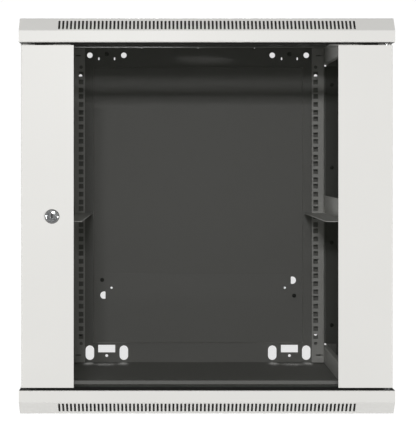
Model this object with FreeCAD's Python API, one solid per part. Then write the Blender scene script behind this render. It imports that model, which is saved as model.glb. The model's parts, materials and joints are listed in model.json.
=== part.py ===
import FreeCAD, Part
import math
import os

from FreeCAD import Vector

# Wall mount network cabinet, millimetres.
# Work is done in cabinet coordinates: x from the middle to the viewer's right, y back from the front face,
# z up from the underside. Each piece is moved to the part's frame when it is written: the origin is midway
# between the two outer wall-bolt holes of the top panel, on the face that meets the wall.

# Overall sizes
cabinet_width = 600.0
cabinet_depth = 450.0
rack_units = 12
unit_pitch = 44.45
end_allowance = 50.8
cabinet_height = rack_units * unit_pitch + 2 * end_allowance

# Sheet thicknesses and bends
frame_sheet = 1.5
rail_sheet = 2.0
panel_sheet = 1.0
door_sheet = 1.2
bend_radius = 1.0
touch_gap = 0.3
cut_room = 1.0
cut_reach = 5.0

# Front bars
bar_height = 40.0
bevel_height = 21.0
bevel_depth = 14.0
bar_return = 28.0
bar_lip = 30.0
slot_count = 76
slot_pitch = 6.29
slot_width = 3.3
slot_length = 17.2
slot_share = 0.44

# Top and bottom panels
rear_flange_height = 42.5
skirt_return = 12.0
skirt_lip = 12.0
return_end_room = 4.0

# Holes in the rear flanges, from the outer edge of the flange
outer_hole_offset = 216.5
inner_hole_offset = 148.5
wall_hole_edge = 18.0
wall_hole_radius = 5.5
knockout_edge = 21.8
knockout_width = 17.0
knockout_length = 29.0
window_offset = 182.8
window_width = 34.0
window_height = 15.0
window_edge = 30.0
small_hole_edge = 16.0
small_hole_radius = 2.8
tab_slot_width = 2.6
tab_slot_height = 5.0
groove_width = 0.8
groove_depth = 0.5
notch_offset = 254.0
notch_size = 5.0
vent_notch_offset = 113.0
vent_notch_width = 1.5

# Fan opening in the top panel
fan_slot_count = 15
fan_slot_pitch = 7.0
fan_slot_width = 3.0
fan_radius = 54.0
fan_hole_spacing = 105.0
fan_hole_radius = 2.25
fan_setback = 190.0

# Uprights
upright_face = 21.0
upright_depth = 35.0
upright_setback = 24.0
upright_side_gap = 2.0
rear_upright_face = 43.0
rear_upright_depth = 33.0

# Rear panel and its cable entry
rear_panel_edge = 2.0
field_half_width = 209.5
field_rise = 3.0
field_margin = 1.5
rear_screw_inset = 31.0
rear_screw_heights = (75.0, 240.0)
corner_hole_inset = 20.0
corner_hole_edge = 59.6
corner_hole_radius = 3.5
cover_half_width = 185.0
cover_low = 124.3
cover_height = 56.2
cover_sheet = 1.2
cover_hole_offset = 173.0
cover_hole_radius = 2.2
entry_half_width = 160.0
entry_height = 36.0
hook_hole_offset = 188.0
hook_hole_radius = 7.4
hook_hole_rise = 14.9
cover_ear_offset = 191.5
cover_ear_radius = 6.5
cover_ear_rise = 15.7
screw_head_radius = 4.0
screw_head_height = 2.0

# Beams, rails and braces
rail_opening = 450.0
rail_hole_span = 465.1
rail_face_width = 25.0
rail_hole_size = 9.5
rail_hole_rises = (6.35, 22.225, 38.1)
rail_end_gap = 3.0
front_rail_setback = 95.0
front_rail_flange = 30.0
rear_rail_clearance = 22.0
rear_rail_flange = 18.0
rail_end_hole_edge = 43.5
rail_end_hole_radius = 3.5
rail_slot_edge = 20.6
rail_slot_length = 15.0
rail_slot_height = 3.0
rail_slot_inset = 15.5
beam_height = 34.0
beam_flange = 8.0
beam_foot = 14.0
beam_front = 29.0
beam_bolt_rise = 17.0
beam_slot_length = 90.0
brace_rise = 301.0
brace_height = 36.0
brace_shelf = 40.0
brace_shelf_front = 138.0
brace_web_front = 97.0
brace_bolt_rises = (12.0, 28.0)

# Fasteners
bolt_radius = 2.95
bolt_clearance = 0.25
nut_clearance = 0.05
neck_side = 5.9
bolt_head_height = 4.0
bolt_head_flats = 10.0
bolt_end = 1.5

# Door
door_side_gap = 3.5
door_end_gap = 4.5
door_depth = 18.0
left_strip_width = 84.0
right_strip_width = 87.0
strip_return = 12.0
strip_hem = 10.0
strip_cap_inset = 17.0
glass_sheet = 4.0
glass_overlap = 15.0
tape_sheet = 0.6
tape_width = 9.0
clip_height = 20.0
clip_sheet = 1.5
clip_foot = 14.0
clip_grip = 8.0
clip_edge = 120.0
clip_nut_height = 3.5
clip_nut_flats = 8.0

# Door hinge
pivot_inset = 12.0
pivot_setback = 9.0
pin_radius = 3.0
pin_clearance = 0.06
hinge_plate_sheet = 3.0
hinge_plate_length = 40.0
hinge_plate_width = 20.0
pin_head_radius = 4.8
pin_head_height = 3.0
pin_chamfer = 0.75
bush_flange_radius = 6.0
bush_flange_sheet = 1.5
bush_wall = 1.2
washer_radius = 6.0
upper_pin_reach = 8.0
bracket_sheet = 3.0
bracket_width = 16.0
bracket_drop = 46.0
collar_radius = 5.0
collar_height = 3.0
grip_length = 16.0
grip_radius = 1.2
spring_turns = 6
spring_steps = 12
spring_wire = 1.2
spring_radius = 4.2
lower_pin_reach = 14.0

# Door lock
lock_inset = 49.5
lock_nose = 3.0
lock_nose_radius = 11.5
lock_nose_edge = 0.8
lock_nose_dome = 2.0
lock_crown_drop = 0.3
lock_bore_rim = 0.6
lock_barrel_radius = 9.0
lock_plug_radius = 6.5
lock_recess = 0.8
plug_flange_clearance = 0.06
keyhole_width = 1.8
keyhole_height = 8.0
keyhole_depth = 7.0
cam_sheet = 2.0
cam_reach = 40.0
cam_width = 16.0
cam_gap = 1.4
cam_boss = 7.0
cam_screw_radius = 5.0
cam_screw_height = 3.0
cam_screw_top_radius = 4.0
cam_screw_slot = 1.2
lock_nut_flats = 24.0
lock_nut_height = 4.0

# Side panels and their locks
side_panel_inset = 0.5
side_panel_gap = 0.5
side_panel_flange = 8.0
side_panel_front = 24.3
side_lock_drop = 25.0
side_lock_setback = 225.0
side_cam_reach = 28.0
side_cam_gap = 0.8
side_nose_edge = 0.3
stud_radius = 3.0
stud_clearance = 0.25
stud_rise = 6.0
stud_edge = 80.0
stud_end = 3.0

# Small parts
buffer_radius = 5.0
buffer_tip_radius = 4.0
buffer_edge = 60.0
plug_cap_radius = 4.3
plug_top_radius = 3.0
plug_cap_height = 1.6
earth_stud_radius = 3.0
earth_stud_height = 22.0
earth_stud_inset = 7.0
earth_stud_setback = 62.0
earth_flange_radius = 6.0
earth_nut_height = 5.0

# Worked-out places shared by several pieces
half_width = cabinet_width / 2
plate_low = frame_sheet
plate_top = plate_low + frame_sheet
flange_front = cabinet_depth - frame_sheet
panel_inner_face = half_width - side_panel_inset - panel_sheet
upright_outer = half_width - upright_side_gap
rear_screw_offset = upright_outer - rear_screw_inset
corner_hole_offset = upright_outer - rear_upright_face - corner_hole_inset
rear_panel_front = flange_front - panel_sheet
rear_upright_front = rear_panel_front - frame_sheet
field_front = rear_panel_front - field_rise
field_low = rear_flange_height - rear_panel_edge + field_margin
beam_web = rail_opening / 2 + rail_face_width
rail_inner = rail_opening / 2
rear_rail_setback = cabinet_depth - rear_rail_clearance
earth_stud_offset = -rail_inner - earth_stud_inset
rail_hole_offset = rail_hole_span / 2
lip_outer = half_width - skirt_return
door_half_width = half_width - door_side_gap
door_low = bar_height + door_end_gap
door_high = cabinet_height - door_low
left_glass_edge = -door_half_width + left_strip_width
right_glass_edge = door_half_width - right_strip_width
hem_back = 2 * door_sheet
glass_front = hem_back + tape_sheet
glass_back = glass_front + glass_sheet
pivot_x = half_width - pivot_inset
lock_offset = -door_half_width + lock_inset
lock_height = cabinet_height / 2
cam_front = upright_setback + frame_sheet + cam_gap
side_lock_height = cabinet_height - bar_height - side_lock_drop
lip_inner = lip_outer - frame_sheet
side_cam_outer = lip_inner - side_cam_gap
wall_bolt_height = cabinet_height - wall_hole_edge
origin = Vector(0, cabinet_depth, wall_bolt_height)


def save(name, *solids):
    """Move the solids of one sub-part to the part's frame and write them."""
    shape = solids[0] if len(solids) == 1 else Part.makeCompound(list(solids))
    shape = shape.copy()
    shape.translate(origin * -1)
    shape.exportStep("parts/%s.step" % name)


def box(x0, x1, y0, y1, z0, z1):
    """Solid between two corners given as ranges."""
    corner = Vector(min(x0, x1), min(y0, y1), min(z0, z1))
    return Part.makeBox(abs(x1 - x0), abs(y1 - y0), abs(z1 - z0), corner)


def rod(radius, start, end):
    """Solid cylinder from one point to another."""
    line = end - start
    return Part.makeCylinder(radius, line.Length, start, line)


def tube(outer_radius, inner_radius, start, end):
    """Cylinder from one point to another with a round bore."""
    return rod(outer_radius, start, end).cut(rod(inner_radius, start, end))


def joined(solids):
    """One solid from touching or overlapping ones."""
    first = solids[0]
    return first.multiFuse(solids[1:]).removeSplitter() if len(solids) > 1 else first


def mirrored(shape):
    """The same shape on the other side of the middle."""
    return shape.mirror(Vector(0, 0, 0), Vector(1, 0, 0))


def upturned(shape):
    """The same shape at the other end of the height."""
    return shape.mirror(Vector(0, 0, cabinet_height / 2), Vector(0, 0, 1))


def both_sides(shape):
    """A shape with its mirror image."""
    return [shape, mirrored(shape)]


def square_rod(side, start, end):
    """Square prism along x from one point to another."""
    half = side / 2
    return box(start.x, end.x, start.y - half, start.y + half, start.z - half, start.z + half)


def hexagon(flats, start, end):
    """Solid hexagonal prism from one point to another."""
    line = end - start
    side = Vector(0, 0, 1) if abs(line.z) < line.Length / 2 else Vector(1, 0, 0)
    across = line.cross(side).normalize()
    up = across.cross(line).normalize()
    reach = flats / math.sqrt(3)
    corners = []
    for step in range(7):
        angle = math.radians(60 * step)
        corners.append(start + across * (reach * math.cos(angle)) + up * (reach * math.sin(angle)))
    return Part.Face(Part.makePolygon(corners)).extrude(line)


def oblong(width, length, centre, depth):
    """Upright round-ended slot cutter through a sheet that faces the front."""
    radius = width / 2
    reach = length / 2 - radius
    start = centre - Vector(0, depth / 2, 0)
    body = box(start.x - radius, start.x + radius, start.y, start.y + depth,
               start.z - reach, start.z + reach)
    ends = []
    for side in (-1, 1):
        point = start + Vector(0, 0, side * reach)
        ends.append(rod(radius, point, point + Vector(0, depth, 0)))
    return joined([body] + ends)


def side_plane(u, v):
    """Point of a profile that runs along x."""
    return Vector(0, u, v)


def front_plane(u, v):
    """Point of a profile that runs along y."""
    return Vector(u, 0, v)


def ground_plane(u, v):
    """Point of a profile that runs along z."""
    return Vector(u, v, 0)


def rounded_edges(points, radii, plane):
    """Edges along a bent line, with an arc of the given radius at each inner corner."""
    edges = []
    start = Vector(points[0][0], points[0][1], 0)
    for index in range(1, len(points) - 1):
        corner = Vector(points[index][0], points[index][1], 0)
        before = (Vector(points[index - 1][0], points[index - 1][1], 0) - corner).normalize()
        after = (Vector(points[index + 1][0], points[index + 1][1], 0) - corner).normalize()
        half = before.getAngle(after) / 2
        radius = radii[index - 1]
        cut = radius / math.tan(half)
        middle = corner + (before + after).normalize() * (radius / math.sin(half) - radius)
        arc_start = corner + before * cut
        arc_end = corner + after * cut
        first = plane(arc_start.x, arc_start.y)
        last = plane(arc_end.x, arc_end.y)
        edges.append(Part.LineSegment(plane(start.x, start.y), first).toShape())
        edges.append(Part.Arc(first, plane(middle.x, middle.y), last).toShape())
        start = arc_end
    edges.append(Part.LineSegment(plane(start.x, start.y), plane(*points[-1])).toShape())
    return edges


def offset_line(points, thickness):
    """The bent line moved to its right-hand side by the sheet's thickness, with each corner's turn."""
    moved = []
    turns = []
    normals = []
    for first, second in zip(points, points[1:]):
        length = math.hypot(second[0] - first[0], second[1] - first[1])
        normals.append(((second[1] - first[1]) / length, (first[0] - second[0]) / length))
    moved.append((points[0][0] + normals[0][0] * thickness, points[0][1] + normals[0][1] * thickness))
    for index in range(1, len(points) - 1):
        n0 = normals[index - 1]
        n1 = normals[index]
        scale = thickness / (1 + n0[0] * n1[0] + n0[1] * n1[1])
        shift_u = (n0[0] + n1[0]) * scale
        shift_v = (n0[1] + n1[1]) * scale
        moved.append((points[index][0] + shift_u, points[index][1] + shift_v))
        turns.append(n0[0] * n1[1] - n0[1] * n1[0])
    moved.append((points[-1][0] + normals[-1][0] * thickness, points[-1][1] + normals[-1][1] * thickness))
    return moved, turns


def folded(points, thickness, plane, start, length):
    """Folded sheet: its outline runs through the points with the sheet on the right-hand side."""
    inner, turns = offset_line(points, thickness)
    outer_radii = []
    inner_radii = []
    for turn in turns:
        outer_radii.append(bend_radius if turn > 0 else bend_radius + thickness)
        inner_radii.append(bend_radius + thickness if turn > 0 else bend_radius)
    edges = rounded_edges(points, outer_radii, plane)
    edges.append(Part.LineSegment(plane(*points[-1]), plane(*inner[-1])).toShape())
    edges += rounded_edges(inner[::-1], inner_radii[::-1], plane)
    edges.append(Part.LineSegment(plane(*inner[0]), plane(*points[0])).toShape())
    sheet = Part.Face(Part.Wire(edges))
    sheet.translate(start)
    return sheet.extrude(length)


def bar_outline():
    """Outer line of the lower front bar, seen from its side."""
    return [
        (bar_return, bar_height),
        (0, bar_height),
        (0, bevel_height),
        (bevel_depth, 0),
        (bevel_depth + bar_lip, 0),
    ]


def bevel_point(share):
    """Point on the bevel of the lower front bar, from its upper edge (0) to its lower edge (1)."""
    return Vector(0, bevel_depth * share, bevel_height * (1 - share))


def vent_slots():
    """Cutters for the row of vent slots in the bevel of the lower front bar."""
    down = (bevel_point(1) - bevel_point(0)).normalize()
    outward = Vector(0, -down.z, down.y) * -1
    middle = bevel_point(slot_share)
    cutters = []
    for index in range(slot_count):
        x = (index - (slot_count - 1) / 2) * slot_pitch
        start = middle - down * (slot_length / 2) + outward * frame_sheet
        corner = start + Vector(x - slot_width / 2, 0, 0)
        across = Vector(slot_width, 0, 0)
        face = Part.Face(Part.makePolygon([
            corner,
            corner + across,
            corner + across + down * slot_length,
            corner + down * slot_length,
            corner,
        ]))
        cutters.append(face.extrude(outward * (-3 * frame_sheet)))
    return cutters


def bar_cap(x0):
    """Closed end of the lower front bar."""
    line = bar_outline()[:-1] + [(bar_return, 0)]
    outer = bend_radius + frame_sheet
    edges = rounded_edges(line, [outer] * (len(line) - 2), side_plane)
    edges.append(Part.LineSegment(side_plane(*line[-1]), side_plane(*line[0])).toShape())
    cap = Part.Face(Part.Wire(edges))
    cap.translate(Vector(x0, 0, 0))
    return cap.extrude(Vector(frame_sheet, 0, 0))


def front_bar():
    """Lower front bar before its hinge hole: folded sheet with vent slots and closed ends."""
    line = bar_outline()[::-1]
    inner_half = half_width - frame_sheet
    shell = folded(line, frame_sheet, side_plane, Vector(-inner_half, 0, 0), Vector(2 * inner_half, 0, 0))
    shell = joined([shell, bar_cap(-half_width), bar_cap(inner_half)])
    return shell.cut(Part.makeCompound(vent_slots()))


def hinge_hole(radius):
    """Cutter on the door's pivot line, through the door and the returns of both bars."""
    low = bar_height - 2 * hinge_plate_sheet
    start = Vector(pivot_x, pivot_setback, low)
    return rod(radius, start, Vector(pivot_x, pivot_setback, cabinet_height - low))


def pan():
    """Bottom panel before its holes: plate, side skirts with a return and a lip, and a rear flange."""
    half_line = [
        (lip_outer, bar_height + skirt_lip),
        (lip_outer, bar_height),
        (half_width, bar_height),
        (half_width, plate_low),
    ]
    line = half_line + [(-x, z) for x, z in half_line[::-1]]
    length = Vector(0, flange_front - bar_return, 0)
    body = folded(line, frame_sheet, front_plane, Vector(0, bar_return, 0), length)
    tongue_front = bevel_depth + 2 * frame_sheet
    tongue_half = half_width - frame_sheet
    tongue = box(-tongue_half, tongue_half, tongue_front, bar_return, plate_low, plate_top)
    flange_half = panel_inner_face - touch_gap
    foot = box(-half_width, half_width, flange_front, cabinet_depth, plate_low, bar_height)
    flange = box(-flange_half, flange_half, flange_front, cabinet_depth, plate_low, rear_flange_height)
    front_room = upright_setback + upright_depth + return_end_room
    rear_room = rear_upright_front - rear_upright_depth - return_end_room
    clear_low = bar_height - frame_sheet - bend_radius
    clear_high = bar_height + 2 * skirt_lip
    clear_x = half_width - frame_sheet
    cuts = []
    for side in (-1, 1):
        for y0, y1 in ((0, front_room), (rear_room, flange_front)):
            cuts.append(box(side * lip_inner / 2, side * clear_x, y0, y1, clear_low, clear_high))
    return joined([body.cut(Part.makeCompound(cuts)), tongue, foot, flange])


def knockout_groove(outer, inner):
    """Shallow outline pressed in the front of the rear flange, from an outer and an inner cutter."""
    return outer.cut(inner)


def flange_cutter(x, edge, radius):
    """Round cutter through the rear flange of the lower pan."""
    return rod(radius, Vector(x, flange_front - cut_room, edge), Vector(x, cabinet_depth + cut_room, edge))


def window_cutter(x, grow, depth_middle, depth):
    """Rectangular cutter for the window of the lower pan's rear flange."""
    half_x = window_width / 2 + grow
    half_z = window_height / 2 + grow
    return box(x - half_x, x + half_x, depth_middle - depth / 2, depth_middle + depth / 2,
               window_edge - half_z, window_edge + half_z)


def corner_notches():
    """Small reliefs at the ends of the rear flange's upper edge."""
    cuts = []
    for side in (-1, 1):
        x = side * notch_offset
        cuts.append(box(x - notch_size / 2, x + notch_size / 2,
                        flange_front - cut_room, cabinet_depth + cut_room,
                        rear_flange_height - notch_size, rear_flange_height + cut_room))
    return cuts


def stud_holes(radius):
    """Cutters through the lips of the pan for the side panels' locating studs."""
    cuts = []
    for y in (stud_edge, cabinet_depth - stud_edge):
        height = bar_height + stud_rise
        cuts.append(rod(radius, Vector(-half_width, y, height), Vector(half_width, y, height)))
    return cuts


def bottom_panel():
    """Bottom panel with open wall slots and windows in its rear flange."""
    middle = (flange_front + cabinet_depth) / 2
    cuts = corner_notches() + stud_holes(stud_radius + stud_clearance)
    for side in (-1, 1):
        for offset in (inner_hole_offset, outer_hole_offset):
            centre = Vector(side * offset, middle, knockout_edge)
            cuts.append(oblong(knockout_width, knockout_length, centre, 3 * frame_sheet))
        cuts.append(window_cutter(side * window_offset, 0, middle, 3 * frame_sheet))
        cuts.append(flange_cutter(side * window_offset, small_hole_edge, small_hole_radius))
    cuts.append(rod(earth_stud_radius + bolt_clearance, Vector(earth_stud_offset, earth_stud_setback, 0),
                    Vector(earth_stud_offset, earth_stud_setback, plate_top + cut_room)))
    return pan().cut(Part.makeCompound(cuts))


def fan_cutters():
    """Vent slots and screw holes of the fan opening, through the plate of the lower pan."""
    cuts = []
    middle = cabinet_depth - fan_setback
    for index in range(fan_slot_count):
        x = (index - (fan_slot_count - 1) / 2) * fan_slot_pitch
        reach = math.sqrt(fan_radius ** 2 - x ** 2)
        cuts.append(box(x - fan_slot_width / 2, x + fan_slot_width / 2, middle - reach, middle + reach,
                        0, plate_top + cut_room))
    for side_x in (-1, 1):
        for side_y in (-1, 1):
            point = Vector(side_x * fan_hole_spacing / 2, middle + side_y * fan_hole_spacing / 2, 0)
            cuts.append(rod(fan_hole_radius, point, point + Vector(0, 0, plate_top + cut_room)))
    return cuts


def top_panel():
    """Top panel: round wall-bolt holes inside closed knock-outs, and a fan opening; made upside down."""
    middle = (flange_front + cabinet_depth) / 2
    cuts = corner_notches() + fan_cutters()
    for side in (-1, 1):
        for offset in (inner_hole_offset, outer_hole_offset):
            cuts.append(flange_cutter(side * offset, wall_hole_edge, wall_hole_radius))
            centre = Vector(side * offset, flange_front, knockout_edge)
            wide = oblong(knockout_width, knockout_length, centre, 2 * groove_depth)
            narrow = oblong(knockout_width - 2 * groove_width, knockout_length - 2 * groove_width,
                            centre, 2 * groove_depth)
            cuts.append(knockout_groove(wide, narrow))
        cuts.append(knockout_groove(
            window_cutter(side * window_offset, 0, flange_front, 2 * groove_depth),
            window_cutter(side * window_offset, -groove_width, flange_front, 2 * groove_depth)))
        for end in (-1, 1):
            x = side * window_offset + end * (window_width - tab_slot_width) / 2
            low = window_edge - window_height / 2
            cuts.append(box(x - tab_slot_width / 2, x + tab_slot_width / 2, middle - frame_sheet,
                            middle + frame_sheet, low, low + tab_slot_height))
        cuts.append(flange_cutter(side * window_offset, small_hole_edge, small_hole_radius))
    for x in (-vent_notch_offset, 0, vent_notch_offset):
        cuts.append(box(x - vent_notch_width / 2, x + vent_notch_width / 2, middle - frame_sheet,
                        middle + frame_sheet, plate_top, plate_top + vent_notch_width))
    return upturned(pan().cut(Part.makeCompound(cuts)))


def front_upright():
    """Right front upright: an angle behind the door's edge, notched round the bars."""
    line = [
        (upright_outer - upright_face, upright_setback),
        (upright_outer, upright_setback),
        (upright_outer, upright_setback + upright_depth),
    ]
    low = plate_top + touch_gap
    rise = Vector(0, 0, cabinet_height - 2 * low)
    post = folded(line[::-1], frame_sheet, ground_plane, Vector(0, 0, low), rise)
    return post.cut(bar_rooms())


def bar_rooms():
    """Room for the returns of both front bars."""
    back = bar_return + touch_gap
    low = box(-half_width, half_width, 0, back, 0, bar_height)
    return Part.makeCompound([low, upturned(low)])


def rear_upright():
    """Right rear upright: an angle at the rear corner, notched round the rear flanges."""
    back = rear_panel_front
    line = [
        (upright_outer, back - rear_upright_depth),
        (upright_outer, back),
        (upright_outer - rear_upright_face, back),
    ]
    low = plate_top + touch_gap
    rise = Vector(0, 0, cabinet_height - 2 * low)
    post = folded(line[::-1], frame_sheet, ground_plane, Vector(0, 0, low), rise)
    notch = box(0, upright_outer - rear_upright_face / 2, rear_upright_front - cut_room,
                back + cut_room, 0, beam_clear_height())
    return post.cut(Part.makeCompound([notch, upturned(notch)] + rear_screw_holes()))


def beam_clear_height():
    """Height above the beams where the uprights' faces begin."""
    return rear_flange_height - rear_panel_edge


def rear_screw_places():
    """Middle points of the screws that hold the rear panel, on its front face."""
    places = []
    for side in (-1, 1):
        for height in rear_screw_heights:
            for end in (-1, 1):
                z = lock_height + end * height
                places.append(Vector(side * rear_screw_offset, rear_panel_front, z))
    return places


def holes_at(places, radius):
    """Round cutters from front to back at the given places."""
    reach = Vector(0, cut_reach, 0)
    return [rod(radius, place - reach, place + reach) for place in places]


def rear_screw_holes():
    """Cutters for the rear panel's screws."""
    return holes_at(rear_screw_places(), bolt_radius + bolt_clearance)


def corner_hole_places():
    """Middle points of the four plain holes near the corners of the rear panel."""
    places = []
    for side in (-1, 1):
        for height in (corner_hole_edge, cabinet_height - corner_hole_edge):
            places.append(Vector(side * corner_hole_offset, rear_panel_front, height))
    return places


def rear_panel():
    """Rear panel: sheet with a raised centre field, cable entry, hook holes and screw holes."""
    edge = upright_outer - 2 * frame_sheet
    low = beam_clear_height()
    sheet = box(-edge, edge, rear_panel_front, flange_front, low, cabinet_height - low)
    block = box(-field_half_width, field_half_width, field_front, flange_front,
                field_low, cabinet_height - field_low)
    front_edges = []
    for item in block.Edges:
        if abs(item.BoundBox.YMin - field_front) < 0.01 and abs(item.BoundBox.YMax - field_front) < 0.01:
            front_edges.append(item)
    raised = block.makeFillet(field_rise - bend_radius, front_edges)
    shift = panel_sheet
    half = field_half_width - shift
    bottom = field_low + shift
    back = flange_front + cut_room
    pocket = box(-half, half, field_front + shift, back, bottom, cabinet_height - bottom)
    window = box(-half, half, rear_panel_front - cut_room, back, bottom, cabinet_height - bottom)
    shell = joined([sheet.cut(window), raised.cut(pocket)])
    corner_holes = holes_at(corner_hole_places(), corner_hole_radius)
    return shell.cut(Part.makeCompound(entry_cutters() + rear_screw_holes() + corner_holes))


def entry_cutters():
    """Cable entry, hook holes, and the holes for the cover's screws."""
    middle = cover_low + cover_height / 2
    back = flange_front + cut_room
    front = field_front - cut_reach
    cuts = [box(-entry_half_width, entry_half_width, front, back, middle - entry_height / 2,
                middle + entry_height / 2)]
    for side in (-1, 1):
        hook = Vector(side * hook_hole_offset, front, middle + side * hook_hole_rise)
        cuts.append(rod(hook_hole_radius, hook, Vector(hook.x, back, hook.z)))
        ear = Vector(side * cover_ear_offset, front, middle - side * cover_ear_rise)
        cuts.append(rod(bolt_radius + bolt_clearance, ear, Vector(ear.x, back, ear.z)))
        spare = Vector(side * cover_hole_offset, front, middle)
        cuts.append(rod(cover_hole_radius, spare, Vector(spare.x, back, spare.z)))
    return cuts


def cable_entry_cover():
    """Flat cover over the cable entry, with an ear under each of its two screws."""
    middle = cover_low + cover_height / 2
    front = field_front - cover_sheet
    plate = box(-cover_half_width, cover_half_width, front, field_front,
                cover_low, cover_low + cover_height)
    pieces = [plate]
    cuts = []
    for side in (-1, 1):
        height = middle - side * cover_ear_rise
        centre = Vector(side * cover_ear_offset, front, height)
        pieces.append(rod(cover_ear_radius, centre, centre + Vector(0, cover_sheet, 0)))
        pieces.append(box(side * (cover_half_width - cover_sheet), centre.x, front, field_front,
                          height - cover_ear_radius, height + cover_ear_radius))
        cuts += holes_at([centre], bolt_radius + bolt_clearance)
        cuts += holes_at([Vector(side * cover_hole_offset, front, middle)], cover_hole_radius)
    return joined(pieces).cut(Part.makeCompound(cuts))


def cap_screw(seat, direction, shank):
    """Low round-headed screw, with the underside of its head at the seat."""
    head = rod(screw_head_radius, seat - direction * screw_head_height, seat)
    return joined([head, rod(bolt_radius, seat, seat + direction * shank)])


def cable_cover_screws():
    """The two screws in the cover's ears."""
    middle = cover_low + cover_height / 2
    seat = field_front - cover_sheet
    screws = []
    for side in (-1, 1):
        place = Vector(side * cover_ear_offset, seat, middle - side * cover_ear_rise)
        screws.append(cap_screw(place, Vector(0, 1, 0), cover_sheet + panel_sheet + bolt_end))
    return screws


def rear_panel_screws():
    """The eight screws through the rear uprights and the rear panel."""
    screws = []
    for place in rear_screw_places():
        seat = Vector(place.x, rear_upright_front, place.z)
        screws.append(cap_screw(seat, Vector(0, 1, 0), frame_sheet + panel_sheet + bolt_end - touch_gap))
    return screws


def beam():
    """Right bottom beam: a channel open to the side, from the front bar to the rear flange."""
    top = plate_top + beam_height
    line = [
        (beam_web + frame_sheet + beam_foot, plate_top),
        (beam_web, plate_top),
        (beam_web, top),
        (beam_web + frame_sheet + beam_flange, top),
    ]
    length = Vector(0, flange_front - beam_front, 0)
    body = folded(line, frame_sheet, front_plane, Vector(0, beam_front, 0), length)
    height = plate_top + beam_bolt_rise
    half = neck_side / 2 + bolt_clearance
    slot_front = front_bolt_setback() - 2 * neck_side
    slot = box(0, half_width, slot_front, slot_front + beam_slot_length, height - half, height + half)
    return body.cut(Part.makeCompound([slot, neck_hole(rear_bolt_setback(), height)]))


def neck_hole(y, z):
    """Cutter for a frame bolt's square neck through the right-hand rail, beam or brace."""
    side = neck_side + 2 * bolt_clearance
    start = Vector(beam_web - 2 * rail_sheet, y, z)
    return square_rod(side, start, Vector(beam_web + 2 * frame_sheet, y, z))


def front_bolt_setback():
    """Depth of the bolts through the front rails' side flanges."""
    return front_rail_setback + (front_rail_flange + rail_sheet) / 2


def rear_bolt_setback():
    """Depth of the bolts through the rear rails' side flanges."""
    return rear_rail_setback + (rear_rail_flange + rail_sheet) / 2


def side_bolt_heights():
    """Heights of the bolts through a rail's side flange: both beams and the brace."""
    low = plate_top + beam_bolt_rise
    return [low, cabinet_height - low] + [brace_rise + rise for rise in brace_bolt_rises]


def rail(setback, flange, bolt_setback):
    """Right rack rail: an angle with square holes in its face and bolt holes in its side flange."""
    low = plate_top + rail_end_gap
    line = [
        (rail_inner, setback),
        (beam_web, setback),
        (beam_web, setback + flange),
    ]
    rise = Vector(0, 0, cabinet_height - 2 * low)
    body = folded(line[::-1], rail_sheet, ground_plane, Vector(0, 0, low), rise)
    cuts = []
    front = setback - cut_room
    back = setback + rail_sheet + cut_room
    half = rail_hole_size / 2
    for unit in range(rack_units):
        for hole_rise in rail_hole_rises:
            z = end_allowance + unit * unit_pitch + hole_rise
            cuts.append(box(rail_hole_offset - half, rail_hole_offset + half, front, back,
                            z - half, z + half))
    slot_x = rail_inner + rail_slot_inset
    for z in (rail_end_hole_edge, cabinet_height - rail_end_hole_edge):
        cuts.append(rod(rail_end_hole_radius, Vector(rail_hole_offset, front, z),
                        Vector(rail_hole_offset, back, z)))
    for z in (rail_slot_edge, cabinet_height - rail_slot_edge):
        cuts.append(box(slot_x - rail_slot_length / 2, slot_x + rail_slot_length / 2, front, back,
                        z - rail_slot_height / 2, z + rail_slot_height / 2))
    for z in side_bolt_heights():
        cuts.append(neck_hole(bolt_setback, z))
    return body.cut(Part.makeCompound(cuts))


def brace():
    """Right mid-height brace: an angle between the rails whose shelf is cut short at the front."""
    line = [
        (beam_web + frame_sheet, brace_rise + brace_height),
        (beam_web + frame_sheet, brace_rise),
        (beam_web - brace_shelf, brace_rise),
    ]
    back = rear_rail_setback + rear_rail_flange
    body = folded(line, frame_sheet, front_plane, Vector(0, brace_web_front, 0),
                  Vector(0, back - brace_web_front, 0))
    shelf_top = brace_rise + frame_sheet + bend_radius
    cuts = [
        box(0, beam_web, brace_web_front, brace_shelf_front, brace_rise - cut_room, shelf_top),
        box(0, beam_web, rear_rail_setback, back, brace_rise - cut_room, shelf_top),
    ]
    for y in (front_bolt_setback(), rear_bolt_setback()):
        for rise in brace_bolt_rises:
            cuts.append(neck_hole(y, brace_rise + rise))
    return body.cut(Part.makeCompound(cuts))


def side_bolt_places():
    """Depth and height of each bolt through a right-hand rail."""
    places = []
    for y in (front_bolt_setback(), rear_bolt_setback()):
        for z in side_bolt_heights():
            places.append((y, z))
    return places


def frame_bolts():
    """Square-necked hexagon bolts that join rails to beams and braces, heads inside."""
    bolts = []
    head_out = beam_web - rail_sheet
    web_out = beam_web + frame_sheet
    tip = web_out + bolt_head_height + bolt_end
    for y, z in side_bolt_places():
        head = hexagon(bolt_head_flats, Vector(head_out - bolt_head_height, y, z), Vector(head_out, y, z))
        neck = square_rod(neck_side, Vector(head_out, y, z), Vector(web_out, y, z))
        shank = rod(bolt_radius, Vector(web_out, y, z), Vector(tip, y, z))
        bolts += both_sides(joined([head, neck, shank]))
    return bolts


def frame_nuts():
    """Nuts of the frame bolts, outside the beams and braces."""
    nuts = []
    face = beam_web + frame_sheet
    for y, z in side_bolt_places():
        start = Vector(face, y, z)
        end = Vector(face + bolt_head_height, y, z)
        bore = rod(bolt_radius + nut_clearance, start, end)
        nuts += both_sides(hexagon(bolt_head_flats, start, end).cut(bore))
    return nuts


def hole_plugs():
    """Push-in plugs in the small holes of the top flange and in one corner hole of the rear panel."""
    plugs = []
    for side in (-1, 1):
        seat = Vector(side * window_offset, flange_front, cabinet_height - small_hole_edge)
        plugs.append(push_plug(seat, small_hole_radius, frame_sheet))
    corner = corner_hole_places()[0]
    plugs.append(push_plug(corner, corner_hole_radius, panel_sheet))
    return plugs


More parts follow.
